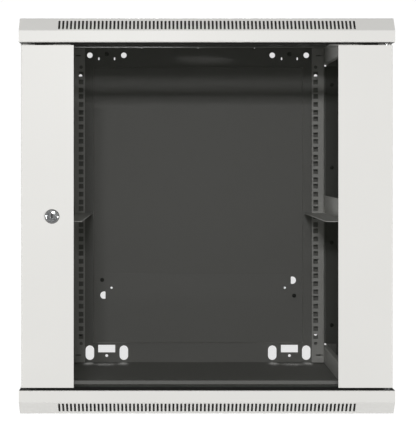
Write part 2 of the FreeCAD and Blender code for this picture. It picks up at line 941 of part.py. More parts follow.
def push_plug(seat, hole_radius, sheet):
    """Plug with a low cap in front of a sheet and a stem in its hole."""
    cap = Part.makeCone(plug_cap_radius, plug_top_radius, plug_cap_height, seat, Vector(0, -1, 0))
    stem = rod(hole_radius - nut_clearance, seat, seat + Vector(0, sheet, 0))
    return joined([cap, stem])


def door_buffers():
    """Two rubber buffers on the left front upright, under the door's inner return."""
    buffers = []
    x = -(door_half_width - strip_return / 2)
    for z in (door_low + buffer_edge, door_high - buffer_edge):
        start = Vector(x, upright_setback, z)
        pad = Part.makeCone(buffer_radius, buffer_tip_radius, upright_setback - door_depth - touch_gap,
                            start, Vector(0, -1, 0))
        buffers.append(pad)
    return buffers


def earth_stud():
    """Earth stud: round flange on the floor of the cabinet, with its shank through the bottom panel."""
    base = Vector(earth_stud_offset, earth_stud_setback, plate_top)
    flange = rod(earth_flange_radius, base, base + Vector(0, 0, frame_sheet))
    foot = base - Vector(0, 0, frame_sheet)
    shank = rod(earth_stud_radius, foot, base + Vector(0, 0, earth_stud_height))
    return joined([flange, shank])


def earth_nut():
    """Nut on the earth stud."""
    start = Vector(earth_stud_offset, earth_stud_setback, plate_top + frame_sheet)
    end = start + Vector(0, 0, earth_nut_height)
    return hexagon(bolt_head_flats, start, end).cut(rod(earth_stud_radius + nut_clearance, start, end))


def hinge_plate():
    """Plate that stiffens the lower bar's return at the hinge."""
    top = bar_height - frame_sheet
    x1 = half_width - frame_sheet
    front = frame_sheet + bend_radius
    return box(x1 - hinge_plate_length, x1, front, front + hinge_plate_width, top - hinge_plate_sheet, top)


def lower_hinge_pin():
    """Fixed pin that stands in the lower bar and carries the door."""
    foot = bar_height - frame_sheet - hinge_plate_sheet
    top = door_low + lower_pin_reach
    base = Vector(pivot_x, pivot_setback, foot)
    pin = rod(pin_radius, base, Vector(pivot_x, pivot_setback, top))
    head = rod(pin_head_radius, base - Vector(0, 0, pin_head_height), base)
    tip_edges = [edge for edge in pin.Edges if edge.BoundBox.ZMin > top - 0.01]
    return joined([pin.makeChamfer(pin_chamfer, tip_edges), head])


def lower_hinge_washer():
    """Washer between the lower bar and the door, which the door's weight rests on."""
    low = Vector(pivot_x, pivot_setback, bar_height)
    high = Vector(pivot_x, pivot_setback, door_low - touch_gap)
    return tube(washer_radius, pin_radius + pin_clearance, low, high)


def upper_hinge_bush():
    """Flanged bush in the upper bar, where the sprung pin turns."""
    face = cabinet_height - bar_height
    centre = Vector(pivot_x, pivot_setback, face)
    flange_low = centre - Vector(0, 0, bush_flange_sheet)
    sleeve_top = centre + Vector(0, 0, frame_sheet + hinge_plate_sheet)
    flange = rod(bush_flange_radius, flange_low, centre)
    sleeve = rod(pin_radius + bush_wall, centre, sleeve_top)
    return joined([flange, sleeve]).cut(hinge_hole(pin_radius + pin_clearance))


def strip(edge_x, width):
    """Door strip whose outer edge is at +x: face, side, return, hem at the glass and closed ends."""
    inner_x = edge_x - width
    line = [
        (edge_x - strip_return, door_depth),
        (edge_x, door_depth),
        (edge_x, 0),
        (inner_x, 0),
    ]
    rise = Vector(0, 0, door_high - door_low)
    body = folded(line, door_sheet, ground_plane, Vector(0, 0, door_low), rise)
    hem = box(inner_x, inner_x + strip_hem, door_sheet / 2, hem_back, door_low, door_high)
    hem_edges = []
    for item in hem.Edges:
        if item.Length > door_high - door_low - 1 and abs(item.BoundBox.XMin - inner_x) < 0.01:
            if item.BoundBox.YMin > door_sheet:
                hem_edges.append(item)
    hem = hem.makeFillet(bend_radius, hem_edges)
    cap_x0 = inner_x + strip_cap_inset
    cap = box(cap_x0, edge_x - door_sheet / 2, door_sheet / 2, door_depth, door_low, door_low + door_sheet)
    return joined([body, hem, cap, upturned(cap)])


def door_strip_left():
    """Lock-side strip with the lock's hole and the clips' studs."""
    lock_hole = rod(lock_barrel_radius + bolt_clearance, Vector(lock_offset, -cut_reach, lock_height),
                    Vector(lock_offset, cut_reach, lock_height))
    body = mirrored(strip(door_half_width, left_strip_width))
    return joined([body.cut(lock_hole)] + clip_studs(left_glass_edge, -1))


def door_strip_right():
    """Hinge-side strip with the pins' holes and the clips' studs."""
    body = strip(door_half_width, right_strip_width).cut(hinge_hole(pin_radius + 2 * bolt_clearance))
    return joined([body] + clip_studs(right_glass_edge, 1))


def clip_heights():
    """Heights of the glass clips."""
    return (door_low + clip_edge, door_high - clip_edge)


def clip_stud_x(glass_edge, side):
    """Distance from the middle of the studs that hold one strip's glass clips."""
    return glass_edge + side * (glass_overlap + touch_gap + clip_sheet + clip_foot / 2)


def clip_studs(glass_edge, side):
    """Welded studs on the back of a strip."""
    studs = []
    end = door_sheet + clip_sheet + 2 * clip_nut_height
    for z in clip_heights():
        start = Vector(clip_stud_x(glass_edge, side), door_sheet / 2, z)
        studs.append(rod(bolt_radius, start, Vector(start.x, end, z)))
    return studs


def glass_clips():
    """Stepped clips that hold the glass to the strips."""
    clips = []
    for glass_edge, side in ((left_glass_edge, -1), (right_glass_edge, 1)):
        wall_x = glass_edge + side * (glass_overlap + touch_gap)
        foot_x = wall_x + side * (clip_sheet + clip_foot)
        grip_x = wall_x - side * clip_grip
        stud_x = clip_stud_x(glass_edge, side)
        for z in clip_heights():
            low = z - clip_height / 2
            high = z + clip_height / 2
            back = glass_back + touch_gap
            pieces = [
                box(wall_x, foot_x, door_sheet, door_sheet + clip_sheet, low, high),
                box(wall_x, wall_x + side * clip_sheet, door_sheet, back + clip_sheet, low, high),
                box(grip_x, wall_x + side * clip_sheet, back, back + clip_sheet, low, high),
            ]
            hole = rod(bolt_radius + bolt_clearance, Vector(stud_x, 0, z), Vector(stud_x, back, z))
            clips.append(joined(pieces).cut(hole))
    return clips


def glass_clip_nuts():
    """Nuts that hold the glass clips."""
    nuts = []
    for glass_edge, side in ((left_glass_edge, -1), (right_glass_edge, 1)):
        for z in clip_heights():
            start = Vector(clip_stud_x(glass_edge, side), door_sheet + clip_sheet, z)
            end = start + Vector(0, clip_nut_height, 0)
            bore = rod(bolt_radius + nut_clearance, start, end)
            nuts.append(hexagon(clip_nut_flats, start, end).cut(bore))
    return nuts


def glass_width_range():
    """Left and right edges of the glass sheet."""
    return left_glass_edge - glass_overlap, right_glass_edge + glass_overlap


def door_glass():
    """Tinted glass sheet with ground edges, held behind both strips."""
    x0, x1 = glass_width_range()
    sheet = box(x0, x1, glass_front, glass_back, door_low + door_sheet, door_high - door_sheet)
    return sheet.makeChamfer(panel_sheet / 2, sheet.Edges)


def glass_tapes():
    """Bonding tape between each strip's hem and the glass."""
    low = door_low + 2 * door_sheet
    high = door_high - 2 * door_sheet
    tapes = []
    for glass_edge, side in ((left_glass_edge, -1), (right_glass_edge, 1)):
        start = glass_edge + side * touch_gap
        tapes.append(box(start, start + side * tape_width, hem_back, glass_front, low, high))
    return tapes


def hinge_bracket(bore):
    """Upper hinge bracket: two ears joined by a web at the door's side, with a bore for the pin."""
    top = door_high - door_sheet
    side_x = door_half_width - door_sheet
    x0 = pivot_x - bracket_width / 2
    y0 = door_sheet + bend_radius
    y1 = door_depth - y0
    low = top - bracket_drop
    pieces = [
        box(x0, side_x, y0, y1, top - bracket_sheet, top),
        box(x0, side_x, y0, y1, low, low + bracket_sheet),
        box(x0, side_x, y0, y0 + door_sheet, low, top),
    ]
    return joined(pieces).cut(hinge_hole(bore))


def lower_hinge_bracket():
    """Lower hinge bracket: a block at the foot of the hinge strip with the pin's bore."""
    low = door_low + door_sheet
    side_x = door_half_width - door_sheet
    y0 = door_sheet + bend_radius
    block = box(pivot_x - bracket_width / 2, side_x, y0, door_depth - y0,
                low, low + lower_pin_reach + bracket_sheet)
    return block.cut(hinge_hole(pin_radius + pin_clearance))


def pin_levels():
    """Foot, collar underside, collar top and tip of the sprung hinge pin."""
    tip = cabinet_height - bar_height + upper_pin_reach
    bracket_top = door_high - door_sheet
    collar_top = bracket_top - bracket_sheet - touch_gap
    collar_low = collar_top - collar_height
    foot = bracket_top - bracket_drop - pin_radius
    return foot, collar_low, collar_top, tip


def upper_hinge_pin():
    """Sprung hinge pin with a collar and a finger grip."""
    foot, collar_low, collar_top, tip = pin_levels()
    pin = rod(pin_radius, Vector(pivot_x, pivot_setback, foot), Vector(pivot_x, pivot_setback, tip))
    tip_edges = [edge for edge in pin.Edges if edge.BoundBox.ZMin > tip - 0.01]
    pin = pin.makeChamfer(pin_chamfer, tip_edges)
    collar = rod(collar_radius, Vector(pivot_x, pivot_setback, collar_low),
                 Vector(pivot_x, pivot_setback, collar_top))
    grip_z = (collar_low + collar_top) / 2
    grip = rod(grip_radius, Vector(pivot_x, pivot_setback, grip_z),
               Vector(pivot_x - grip_length, pivot_setback, grip_z))
    return joined([pin, collar, grip])


def hinge_spring():
    """Coil spring between the pin's collar and the bracket's lower ear."""
    foot, collar_low, collar_top, tip = pin_levels()
    seat = door_high - door_sheet - bracket_drop + bracket_sheet
    low = seat + spring_wire / 2 + touch_gap
    high = collar_low - spring_wire / 2 - touch_gap
    steps = spring_turns * spring_steps
    points = []
    for step in range(steps + 1):
        angle = 2 * math.pi * step / spring_steps
        height = low + (high - low) * step / steps
        points.append(Vector(pivot_x + spring_radius * math.cos(angle),
                             pivot_setback + spring_radius * math.sin(angle), height))
    line = points[1] - points[0]
    across = line.cross(Vector(0, 0, 1)).normalize() * (spring_wire / 2)
    up = across.cross(line).normalize() * (spring_wire / 2)
    corners = []
    for step in range(7):
        angle = math.radians(60 * step)
        corners.append(points[0] + across * math.cos(angle) + up * math.sin(angle))
    section = Part.makePolygon(corners)
    return Part.makePolygon(points).makePipeShell([section], True, False, 1)


def lock_housing():
    """Door lock housing: domed nose in front of the strip, barrel behind it, bored for the plug."""
    x = lock_offset
    back = cam_front
    bore = lock_plug_radius + plug_flange_clearance
    profile = [
        (bore, -lock_nose + lock_recess),
        (bore + lock_bore_rim, -lock_nose),
        (lock_nose_radius - lock_nose_dome, -lock_nose + lock_crown_drop),
        (lock_nose_radius, -lock_nose_edge),
        (lock_nose_radius, 0),
        (lock_barrel_radius, 0),
        (lock_barrel_radius, back),
        (bore, back),
    ]
    points = [Vector(x + radius, y, lock_height) for radius, y in profile]
    points.append(points[0])
    return Part.Face(Part.makePolygon(points)).revolve(Vector(x, 0, lock_height), Vector(0, 1, 0), 360)


def lock_nut():
    """Flat hexagon nut behind the strip."""
    start = Vector(lock_offset, door_sheet, lock_height)
    end = Vector(lock_offset, door_sheet + lock_nut_height, lock_height)
    return hexagon(lock_nut_flats, start, end).cut(rod(lock_barrel_radius + nut_clearance, start, end))


def keyway(centre, inward):
    """Cutter for the keyhole in the front of a plug."""
    side = Vector(1, 0, 0) if abs(inward.y) > 0.5 else Vector(0, 1, 0)
    half = side * (keyhole_width / 2) + Vector(0, 0, keyhole_height / 2)
    first = centre - half - inward
    last = centre + half + inward * keyhole_depth
    return box(first.x, last.x, first.y, last.y, first.z, last.z)


def lock_plug():
    """Door lock plug with a keyhole in front and a square tail behind."""
    front = Vector(lock_offset, -lock_nose + lock_recess, lock_height)
    back = Vector(lock_offset, cam_front, lock_height)
    tail = box(lock_offset - cam_boss / 2, lock_offset + cam_boss / 2, cam_front, cam_front + cam_sheet,
               lock_height - cam_boss / 2, lock_height + cam_boss / 2)
    body = rod(lock_plug_radius, front, back)
    return joined([body, tail]).cut(keyway(front, Vector(0, 1, 0)))


def cam_plate(length, start, end, direction):
    """Cam: round boss and a straight arm with a rounded tip, with a square hole for the plug's tail."""
    line = end - start
    tip = start + direction * (length - cam_width / 2)
    side = line.cross(direction).normalize() * (cam_width / 2)
    corners = [start + side, tip + side, tip - side, start - side, start + side]
    arm = Part.Face(Part.makePolygon(corners)).extrude(line)
    half = cam_boss / 2 + nut_clearance
    across = side.normalize() * half
    along = direction * half
    square = Part.Face(Part.makePolygon([
        start + across + along,
        start + across - along,
        start - across - along,
        start - across + along,
        start + across + along,
    ])).extrude(line)
    return joined([rod(cam_width / 2, start, end), arm, rod(cam_width / 2, tip, tip + line)]).cut(square)


def lock_cam():
    """Door lock cam, hanging down when the door is unlocked."""
    start = Vector(lock_offset, cam_front, lock_height)
    return cam_plate(cam_reach, start, start + Vector(0, cam_sheet, 0), Vector(0, 0, -1))


def cam_screw():
    """Screw that holds the door lock's cam on its plug."""
    seat = Vector(lock_offset, cam_front + cam_sheet, lock_height)
    head = Part.makeCone(cam_screw_radius, cam_screw_top_radius, cam_screw_height, seat, Vector(0, 1, 0))
    slot = box(lock_offset - cam_screw_radius, lock_offset + cam_screw_radius,
               seat.y + cam_screw_height / 2, seat.y + cam_screw_height + cut_room,
               lock_height - cam_screw_slot / 2, lock_height + cam_screw_slot / 2)
    return head.cut(slot)


def side_panel():
    """Right side panel: sheet with folded upper and lower edges, a lock hole and two locating studs."""
    outer = half_width - side_panel_inset
    low = bar_height + side_panel_gap
    high = cabinet_height - low
    back = cabinet_depth - side_panel_gap
    skin = box(outer - panel_sheet, outer, side_panel_front, back, low, high)
    fold_front = upright_setback + upright_depth + return_end_room
    fold_back = rear_upright_front - rear_upright_depth - return_end_room
    fold = box(outer - side_panel_flange, outer, fold_front, fold_back, low, low + panel_sheet)
    pieces = [skin, fold, upturned(fold)]
    for y in (stud_edge, cabinet_depth - stud_edge):
        z = bar_height + stud_rise
        root = Vector(outer - panel_sheet, y, z)
        pieces.append(rod(stud_radius, root, Vector(lip_inner - stud_end, y, z)))
    centre = Vector(outer, side_lock_setback, side_lock_height)
    reach = Vector(cut_reach, 0, 0)
    hole = rod(lock_barrel_radius + bolt_clearance, centre - reach, centre + reach)
    return joined(pieces).cut(hole)


def side_lock_housing():
    """Housing of the right side panel's lock."""
    outer = half_width - side_panel_inset
    bore = lock_plug_radius + plug_flange_clearance
    profile = [
        (bore, side_cam_outer - outer),
        (lock_barrel_radius, side_cam_outer - outer),
        (lock_barrel_radius, 0),
        (lock_nose_radius, 0),
        (lock_nose_radius, side_nose_edge),
        (lock_nose_radius - lock_bore_rim, side_panel_inset),
        (bore, side_panel_inset),
    ]
    points = [Vector(outer + x, side_lock_setback + radius, side_lock_height) for radius, x in profile]
    points.append(points[0])
    axis_point = Vector(0, side_lock_setback, side_lock_height)
    return Part.Face(Part.makePolygon(points)).revolve(axis_point, Vector(1, 0, 0), 360)


def side_lock_nut():
    """Nut of the right side panel's lock."""
    face = half_width - side_panel_inset - panel_sheet
    start = Vector(face, side_lock_setback, side_lock_height)
    end = start - Vector(lock_nut_height, 0, 0)
    return hexagon(lock_nut_flats, start, end).cut(rod(lock_barrel_radius + nut_clearance, start, end))


def side_lock_plug():
    """Plug of the right side panel's lock."""
    front = Vector(half_width - lock_recess / 4, side_lock_setback, side_lock_height)
    back = Vector(side_cam_outer, side_lock_setback, side_lock_height)
    half = cam_boss / 2
    tail = box(side_cam_outer - cam_sheet, side_cam_outer,
               side_lock_setback - half, side_lock_setback + half,
               side_lock_height - half, side_lock_height + half)
    return joined([rod(lock_plug_radius, front, back), tail]).cut(keyway(front, Vector(-1, 0, 0)))


def side_lock_cam():
    """Cam of the right side panel's lock, lying level when the panel is unlocked."""
    start = Vector(side_cam_outer, side_lock_setback, side_lock_height)
    return cam_plate(side_cam_reach, start, start - Vector(cam_sheet, 0, 0), Vector(0, 1, 0))


def build():
    """Make and write every sub-part."""
    os.makedirs("parts", exist_ok=True)
    bar = front_bar()
    pivot_cut = hinge_hole(pin_radius + nut_clearance)
    bush_cut = hinge_hole(pin_radius + bush_wall + nut_clearance)
    save("bottom_front_bar", bar.cut(pivot_cut))
    save("top_front_bar", upturned(bar).cut(bush_cut))
    save("bottom_panel", bottom_panel())
    save("top_panel", top_panel())

    for name, shape in (("front_upright", front_upright()), ("rear_upright", rear_upright())):
        save(name + "_right", shape)
        save(name + "_left", mirrored(shape))

    save("rear_panel", rear_panel())
    save("rear_panel_screws", *rear_panel_screws())
    save("cable_entry_cover", cable_entry_cover())
    save("cable_cover_screws", *cable_cover_screws())

    low_beam = beam()
    for name, shape in (("bottom_beam", low_beam), ("top_beam", upturned(low_beam))):
        save(name + "_right", shape)
        save(name + "_left", mirrored(shape))

    front_rail = rail(front_rail_setback, front_rail_flange, front_bolt_setback())
    back_rail = rail(rear_rail_setback, rear_rail_flange, rear_bolt_setback())
    for name, shape in (("front_rail", front_rail), ("rear_rail", back_rail), ("brace", brace())):
        save(name + "_right", shape)
        save(name + "_left", mirrored(shape))

    save("frame_bolts", *frame_bolts())
    save("frame_nuts", *frame_nuts())
    save("hole_plugs", *hole_plugs())
    save("door_buffers", *door_buffers())
    save("earth_stud", earth_stud())
    save("earth_nut", earth_nut())

    plate = hinge_plate()
    save("lower_hinge_plate", plate.cut(pivot_cut))
    save("upper_hinge_plate", upturned(plate).cut(bush_cut))
    save("lower_hinge_pin", lower_hinge_pin())
    save("lower_hinge_washer", lower_hinge_washer())
    save("upper_hinge_bush", upper_hinge_bush())

    save("door_strip_left", door_strip_left())
    save("door_strip_right", door_strip_right())
    save("door_glass", door_glass())
    save("glass_tapes", *glass_tapes())
    save("glass_clips", *glass_clips())
    save("glass_clip_nuts", *glass_clip_nuts())
    save("upper_hinge_bracket", hinge_bracket(pin_radius + pin_clearance))
    save("lower_hinge_bracket", lower_hinge_bracket())
    save("upper_hinge_pin", upper_hinge_pin())
    save("hinge_spring", hinge_spring())
    save("lock_housing", lock_housing())
    save("lock_nut", lock_nut())
    save("lock_plug", lock_plug())
    save("lock_cam", lock_cam())
    save("cam_screw", cam_screw())

    side_pieces = (
        ("side_panel", side_panel()),
        ("side_lock_housing", side_lock_housing()),
        ("side_lock_nut", side_lock_nut()),
        ("side_lock_plug", side_lock_plug()),
        ("side_lock_cam", side_lock_cam()),
    )
    for name, shape in side_pieces:
        save(name + "_right", shape)
        save(name + "_left", mirrored(shape))


build()
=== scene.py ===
"""Wall mount network cabinet: finishes, fine pieces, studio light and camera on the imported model."""
import json
import logging
import math
from collections.abc import Callable
from dataclasses import dataclass, field
from enum import Enum
from typing import Any, Union

import bmesh
import bpy
from mathutils import Matrix, Vector


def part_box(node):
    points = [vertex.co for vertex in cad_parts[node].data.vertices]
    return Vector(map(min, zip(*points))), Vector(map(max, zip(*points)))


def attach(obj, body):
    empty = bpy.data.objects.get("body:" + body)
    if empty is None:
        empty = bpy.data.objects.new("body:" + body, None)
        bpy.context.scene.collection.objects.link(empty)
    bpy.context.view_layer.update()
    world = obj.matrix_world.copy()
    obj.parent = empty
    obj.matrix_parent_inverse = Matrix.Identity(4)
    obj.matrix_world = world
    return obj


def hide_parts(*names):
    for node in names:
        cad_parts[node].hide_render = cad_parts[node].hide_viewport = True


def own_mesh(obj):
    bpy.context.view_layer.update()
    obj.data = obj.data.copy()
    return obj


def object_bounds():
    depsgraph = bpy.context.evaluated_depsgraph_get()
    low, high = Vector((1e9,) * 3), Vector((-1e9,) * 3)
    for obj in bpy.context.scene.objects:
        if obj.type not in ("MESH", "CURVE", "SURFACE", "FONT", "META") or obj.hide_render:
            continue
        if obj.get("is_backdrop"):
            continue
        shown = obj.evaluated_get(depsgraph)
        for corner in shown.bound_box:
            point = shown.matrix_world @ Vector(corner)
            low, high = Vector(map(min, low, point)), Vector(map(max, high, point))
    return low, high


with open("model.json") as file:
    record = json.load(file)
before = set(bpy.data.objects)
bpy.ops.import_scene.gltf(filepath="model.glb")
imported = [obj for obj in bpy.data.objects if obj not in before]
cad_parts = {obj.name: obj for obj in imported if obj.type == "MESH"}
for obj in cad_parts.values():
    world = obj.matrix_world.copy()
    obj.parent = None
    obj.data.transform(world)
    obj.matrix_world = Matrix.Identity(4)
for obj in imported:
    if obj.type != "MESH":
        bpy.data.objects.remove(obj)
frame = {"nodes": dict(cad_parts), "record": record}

logging.basicConfig(level=logging.INFO, format="%(name)s: %(message)s")
log = logging.getLogger("cabinet")

Colour = tuple[float, float, float]
Operand = Union["Value", float]
Outline = Callable[[float], float]
Profile = tuple[tuple[float, float], ...]

MM = 0.001
MERGE_DISTANCE = 1e-6
SHARP_ANGLE = math.radians(35)
FORWARD = Vector((0, -1, 0)).freeze()
DOOR_CROWN: Profile = (
    (6.75, 2.6), (7.1, 2.95), (7.6, 3.0), (8.4, 2.9), (9.2, 2.65), (9.9, 2.2), (10.4, 1.6), (10.6, 0.9),
    (10.6, 0.0))
SIDE_CROWN: Profile = ((6.9, 0.45), (7.3, 0.5), (10.6, 0.5), (11.2, 0.4), (11.5, 0.15), (11.5, 0.0))
BAR_COATS = {"top_front_bar": "top_bar_coat", "bottom_front_bar": "bottom_bar_coat"}
# Inner parts get coats with painted shade: the shell and post coats darken the faces that look inwards, and the
# coats of rails, covers and plates are darker all over.
COAT_WORDS = {"shell_coat": {"panel"}, "post_coat": {"upright"}, "rail_coat": {"rail", "brace", "beam"},
              "painted_shade_coat": {"cover", "plate"}}


class Side(Enum):
    """A side of the cabinet, with the sign of its x."""

    LEFT = -1
    RIGHT = 1

    @property
    def outward(self) -> Vector:
        """The direction away from the middle on this side."""
        return Vector((self.value, 0, 0))


class Value:
    """A number in a shader tree that takes part in Python sums."""

    def __init__(self, tree: "NodeTree", socket: bpy.types.NodeSocket) -> None:
        """Keep the tree and the socket.

        Args:
            tree: The tree that the socket belongs to.
            socket: The output that gives the number.
        """
        self.tree = tree
        self.socket = socket

    def _math(self, operation: str, first: Operand, second: Operand) -> "Value":
        """Add one Math node.

        Args:
            operation: The Math node's operation.
            first: Its first operand.
            second: Its second operand.

        Returns:
            The result.
        """
        node = self.tree.node("ShaderNodeMath", {"operation": operation}, {0: first, 1: second})
        return Value(self.tree, node.outputs[0])

    def __add__(self, other: Operand) -> "Value":
        """This plus the other."""
        return self._math("ADD", self, other)

    def __radd__(self, other: Operand) -> "Value":
        """The other plus this."""
        return self._math("ADD", other, self)

    def __sub__(self, other: Operand) -> "Value":
        """This minus the other."""
        return self._math("SUBTRACT", self, other)

    def __rsub__(self, other: Operand) -> "Value":
        """The other minus this."""
        return self._math("SUBTRACT", other, self)

    def __mul__(self, other: Operand) -> "Value":
        """This times the other."""
        return self._math("MULTIPLY", self, other)

    def __rmul__(self, other: Operand) -> "Value":
        """The other times this."""
        return self._math("MULTIPLY", other, self)

    def __pow__(self, other: Operand) -> "Value":
        """This to the power of the other."""
        return self._math("POWER", self, other)

    def size(self) -> "Value":
        """The number without its sign."""
        return self._math("ABSOLUTE", self, 0.0)

    def at_least(self, other: Operand) -> "Value":
        """The larger of this and the other.

        Args:
            other: The other number.

        Returns:
            The larger one.
        """
        return self._math("MAXIMUM", self, other)

    def __gt__(self, other: Operand) -> "Value":
        """1 where this is larger than the other, else 0."""
        return self._math("GREATER_THAN", self, other)


class NodeTree:
    """A node tree with one method that makes any node."""

    def __init__(self, owner: bpy.types.Material | bpy.types.World) -> None:
        """Empty the owner's tree.

        Args:
            owner: The material or the world that the tree belongs to.
        """
        owner.use_nodes = True
        self.tree = owner.node_tree
        self.tree.nodes.clear()

    def node(self, kind: str, settings: dict[str, Any] | None = None,
             inputs: dict[Any, Any] | None = None) -> bpy.types.Node:
        """Make a node.

        Args:
            kind: The node's type.
            settings: Its properties, which are set first.
            inputs: Values or links of its sockets, by name or number.

        Returns:
            The node.
        """
        node = self.tree.nodes.new(kind)
        for key, value in (settings or {}).items():
            setattr(node, key, value)
        for key, value in (inputs or {}).items():
            if isinstance(value, Value):
                self.tree.links.new(value.socket, node.inputs[key])
            elif isinstance(value, bpy.types.NodeSocket):
                self.tree.links.new(value, node.inputs[key])
            else:
                node.inputs[key].default_value = value
        return node


class ShaderTree(NodeTree):
    """The node tree of one material that reads the piece's own coordinates."""

    def __init__(self, name: str) -> None:
        """Start an empty material.

        Args:
            name: The material's name.
        """
        self.material = bpy.data.materials.new(name)
        super().__init__(self.material)
        self.spot = self.node("ShaderNodeTexCoord").outputs["Object"]

    def noise(self, grain: float, detail: float = 2.0, stretch: Colour = (1.0, 1.0, 1.0)) -> Value:
        """Soft noise from 0 to 1 over the piece.

        Args:
            grain: Size of its spots in metres.
            detail: Octaves of finer noise.
            stretch: Scale along each axis.

        Returns:
            The noise.
        """
        spot = self.node("ShaderNodeMapping", inputs={"Vector": self.spot, "Scale": stretch}).outputs[0]
        node = self.node("ShaderNodeTexNoise", inputs={"Vector": spot, "Scale": 1.0 / grain, "Detail": detail})
        return Value(self, node.outputs["Fac"])

    def shades(self, share: Value, colour: Colour, spread: float) -> bpy.types.NodeSocket:
        """Vary a colour between a darker and a lighter shade.

        Args:
            share: 0 for the darker shade, 1 for the lighter one.
            colour: The colour in the middle.
            spread: How far each shade is from it, as a share.

        Returns:
            The colour's socket.
        """
        low = tuple(part * (1.0 - spread) for part in colour)
        high = tuple(min(1.0, part * (1.0 + spread)) for part in colour)
        return self.mixed(share, low, high)

    def facing(self, axis: int) -> Value:
        """How far the surface faces along one of the piece's own axes.

        Args:
            axis: 0, 1 or 2 for x, y or z.

        Returns:
            The normal's part along that axis, with its sign.
        """
        normal = self.node("ShaderNodeTexCoord").outputs["Normal"]
        return Value(self, self.node("ShaderNodeSeparateXYZ", inputs={0: normal}).outputs[axis])

    def place(self, axis: int) -> Value:
        """A point's place along one axis of the frame.

        Args:
            axis: 0, 1 or 2 for x, y or z.

        Returns:
            The place in metres.
        """
        return Value(self, self.node("ShaderNodeSeparateXYZ", inputs={0: self.spot}).outputs[axis])

    def mixed(self, share: Value, low: Colour | bpy.types.NodeSocket, high: Colour) -> bpy.types.NodeSocket:
        """Mix two colours.

        Args:
            share: How much of the second colour.
            low: First colour, or the socket that gives it.
            high: Second colour.

        Returns:
            The colour's socket.
        """
        first = (*low, 1.0) if isinstance(low, tuple) else low
        # On colours the Mix node takes sockets 6 and 7 and gives its result on output 2.
        node = self.node("ShaderNodeMix", {"data_type": "RGBA", "clamp_factor": True},
                         {0: share, 6: first, 7: (*high, 1.0)})
        return node.outputs[2]

    def bump(self, height: Value, depth: float) -> bpy.types.NodeSocket:
        """Turn a height from 0 to 1 into a bumped normal.

        Args:
            height: The height.
            depth: What a height of 1 is worth, in metres.

        Returns:
            The normal's socket.
        """
        node = self.node("ShaderNodeBump", inputs={"Height": height, "Distance": depth, "Strength": 1.0})
        return node.outputs[0]

    def finish(self, inputs: dict[str, Any]) -> bpy.types.Material:
        """Close the tree with a Principled shader.

        Args:
            inputs: The shader's sockets.

        Returns:
            The material.
        """
        shader = self.node("ShaderNodeBsdfPrincipled", inputs=inputs)
        self.node("ShaderNodeOutputMaterial", inputs={"Surface": shader.outputs[0]})
        return self.material


@dataclass(frozen=True)
class PowderCoat:
    """Baked powder coat on steel: fine orange peel, faint mottling and a little dust on what lies flat."""

    name: str
    colour: Colour = (0.745, 0.738, 0.712)
    # Colour and added roughness of the painted shade, used where a finish marks it.
    painted_shade_colour: Colour = (0.03, 0.03, 0.028)
    painted_shade_roughness: float = 0.2
    roughness: float = 0.42
    specular: float = 0.4
    peel_size: float = 0.0011
    peel_depth: float = 0.000012
    peel_gloss: float = 0.06
    drift_size: float = 0.09
    drift_shade: float = 0.035
    drift_tone: float = 0.5
    drift_gloss: float = 0.1
    dust: float = 0.035
    dust_size: float = 0.03
    dust_fall: float = 4.0

    def painted_shade_mask(self, tree: ShaderTree) -> Value | None:
        """Where the surface gets painted shade, a darker colour that stands in for the shade falling there.

        Args:
            tree: The finish's tree.

        Returns:
            1 on such surfaces and 0 elsewhere, or None if the finish has none.
        """
        return None

    def material(self) -> bpy.types.Material:
        """Build the finish.

        Returns:
            The material.
        """
        tree = ShaderTree(self.name)
        peel = tree.noise(self.peel_size)
        drift = tree.noise(self.drift_size, detail=3.0) - 0.5
        level = tree.facing(2).at_least(0.0) ** self.dust_fall
        dust = level * tree.noise(self.dust_size, detail=4.0) * self.dust
        colour = tree.shades(drift * self.drift_tone + 0.5 + dust, self.colour, self.drift_shade)
        rough = drift * self.drift_gloss + (peel - 0.5) * self.peel_gloss + dust + self.roughness
        # Painted shade: where a finish marks it, the colour turns to the darker shade colour and the roughness
        # rises.
        painted_shade_mask = self.painted_shade_mask(tree)
        if painted_shade_mask is not None:
            colour = tree.mixed(painted_shade_mask, colour, self.painted_shade_colour)
            rough = rough + painted_shade_mask * self.painted_shade_roughness
        return tree.finish({
            "Base Color": colour,
            "Roughness": rough,
            "Specular IOR Level": self.specular,
            "Normal": tree.bump(peel, self.peel_depth),
        })


@dataclass(frozen=True)
class ShellCoat(PowderCoat):
    """Powder coat of the housing's sheets: light outside, with painted shade, a darker grey, on the faces that look
    inwards.
    """

    # Painted shade: a mid grey on the faces that look inwards.
    painted_shade_colour: Colour = (0.3, 0.298, 0.286)
    painted_shade_roughness: float = 0.25
    centre: Colour = (0.0, -0.225, -0.2995)

    def painted_shade_mask(self, tree: ShaderTree) -> Value:
        """Where the surface looks towards the middle of the cabinet, which gets the painted shade.

        Args:
            tree: The finish's tree.

        Returns:
            1 on such surfaces and 0 elsewhere.
        """
        parts = [tree.facing(axis) * (self.centre[axis] - tree.place(axis)) for axis in range(3)]
        return parts[0] + parts[1] + parts[2] > 0.0


@dataclass(frozen=True)
class BarCoat(PowderCoat):
    """Powder coat of a front bar: light outside, with a near-black painted shade inside the bar and under its inner
    edge.

    The lengths are metres in the frame, and each limit is the least part of the normal along one axis.
    """

    outward: float = 1.0
    bevel_back: float = -0.4344
    face_back: float = -0.4485
    end: float = 0.2992
    level_limit: float = 0.5
    back_limit: float = 0.3

    def painted_shade_mask(self, tree: ShaderTree) -> Value:
        """Where the painted shade goes: inside the bar and on the edge that faces the door.

        Args:
            tree: The finish's tree.

        Returns:
            1 on such surfaces and 0 elsewhere.
        """
        outer = tree.facing(2) * self.outward
        inside = (tree.place(1) > self.bevel_back) * (self.level_limit - outer > 0.0)
        under = (tree.place(1) > self.face_back) * (-self.level_limit - outer > 0.0)
        slot_walls = tree.facing(0).size() > self.level_limit
        behind = tree.facing(1) > self.back_limit
        between_ends = self.end - tree.place(0).size() > 0.0
        return inside.at_least(under).at_least(slot_walls).at_least(behind) * between_ends


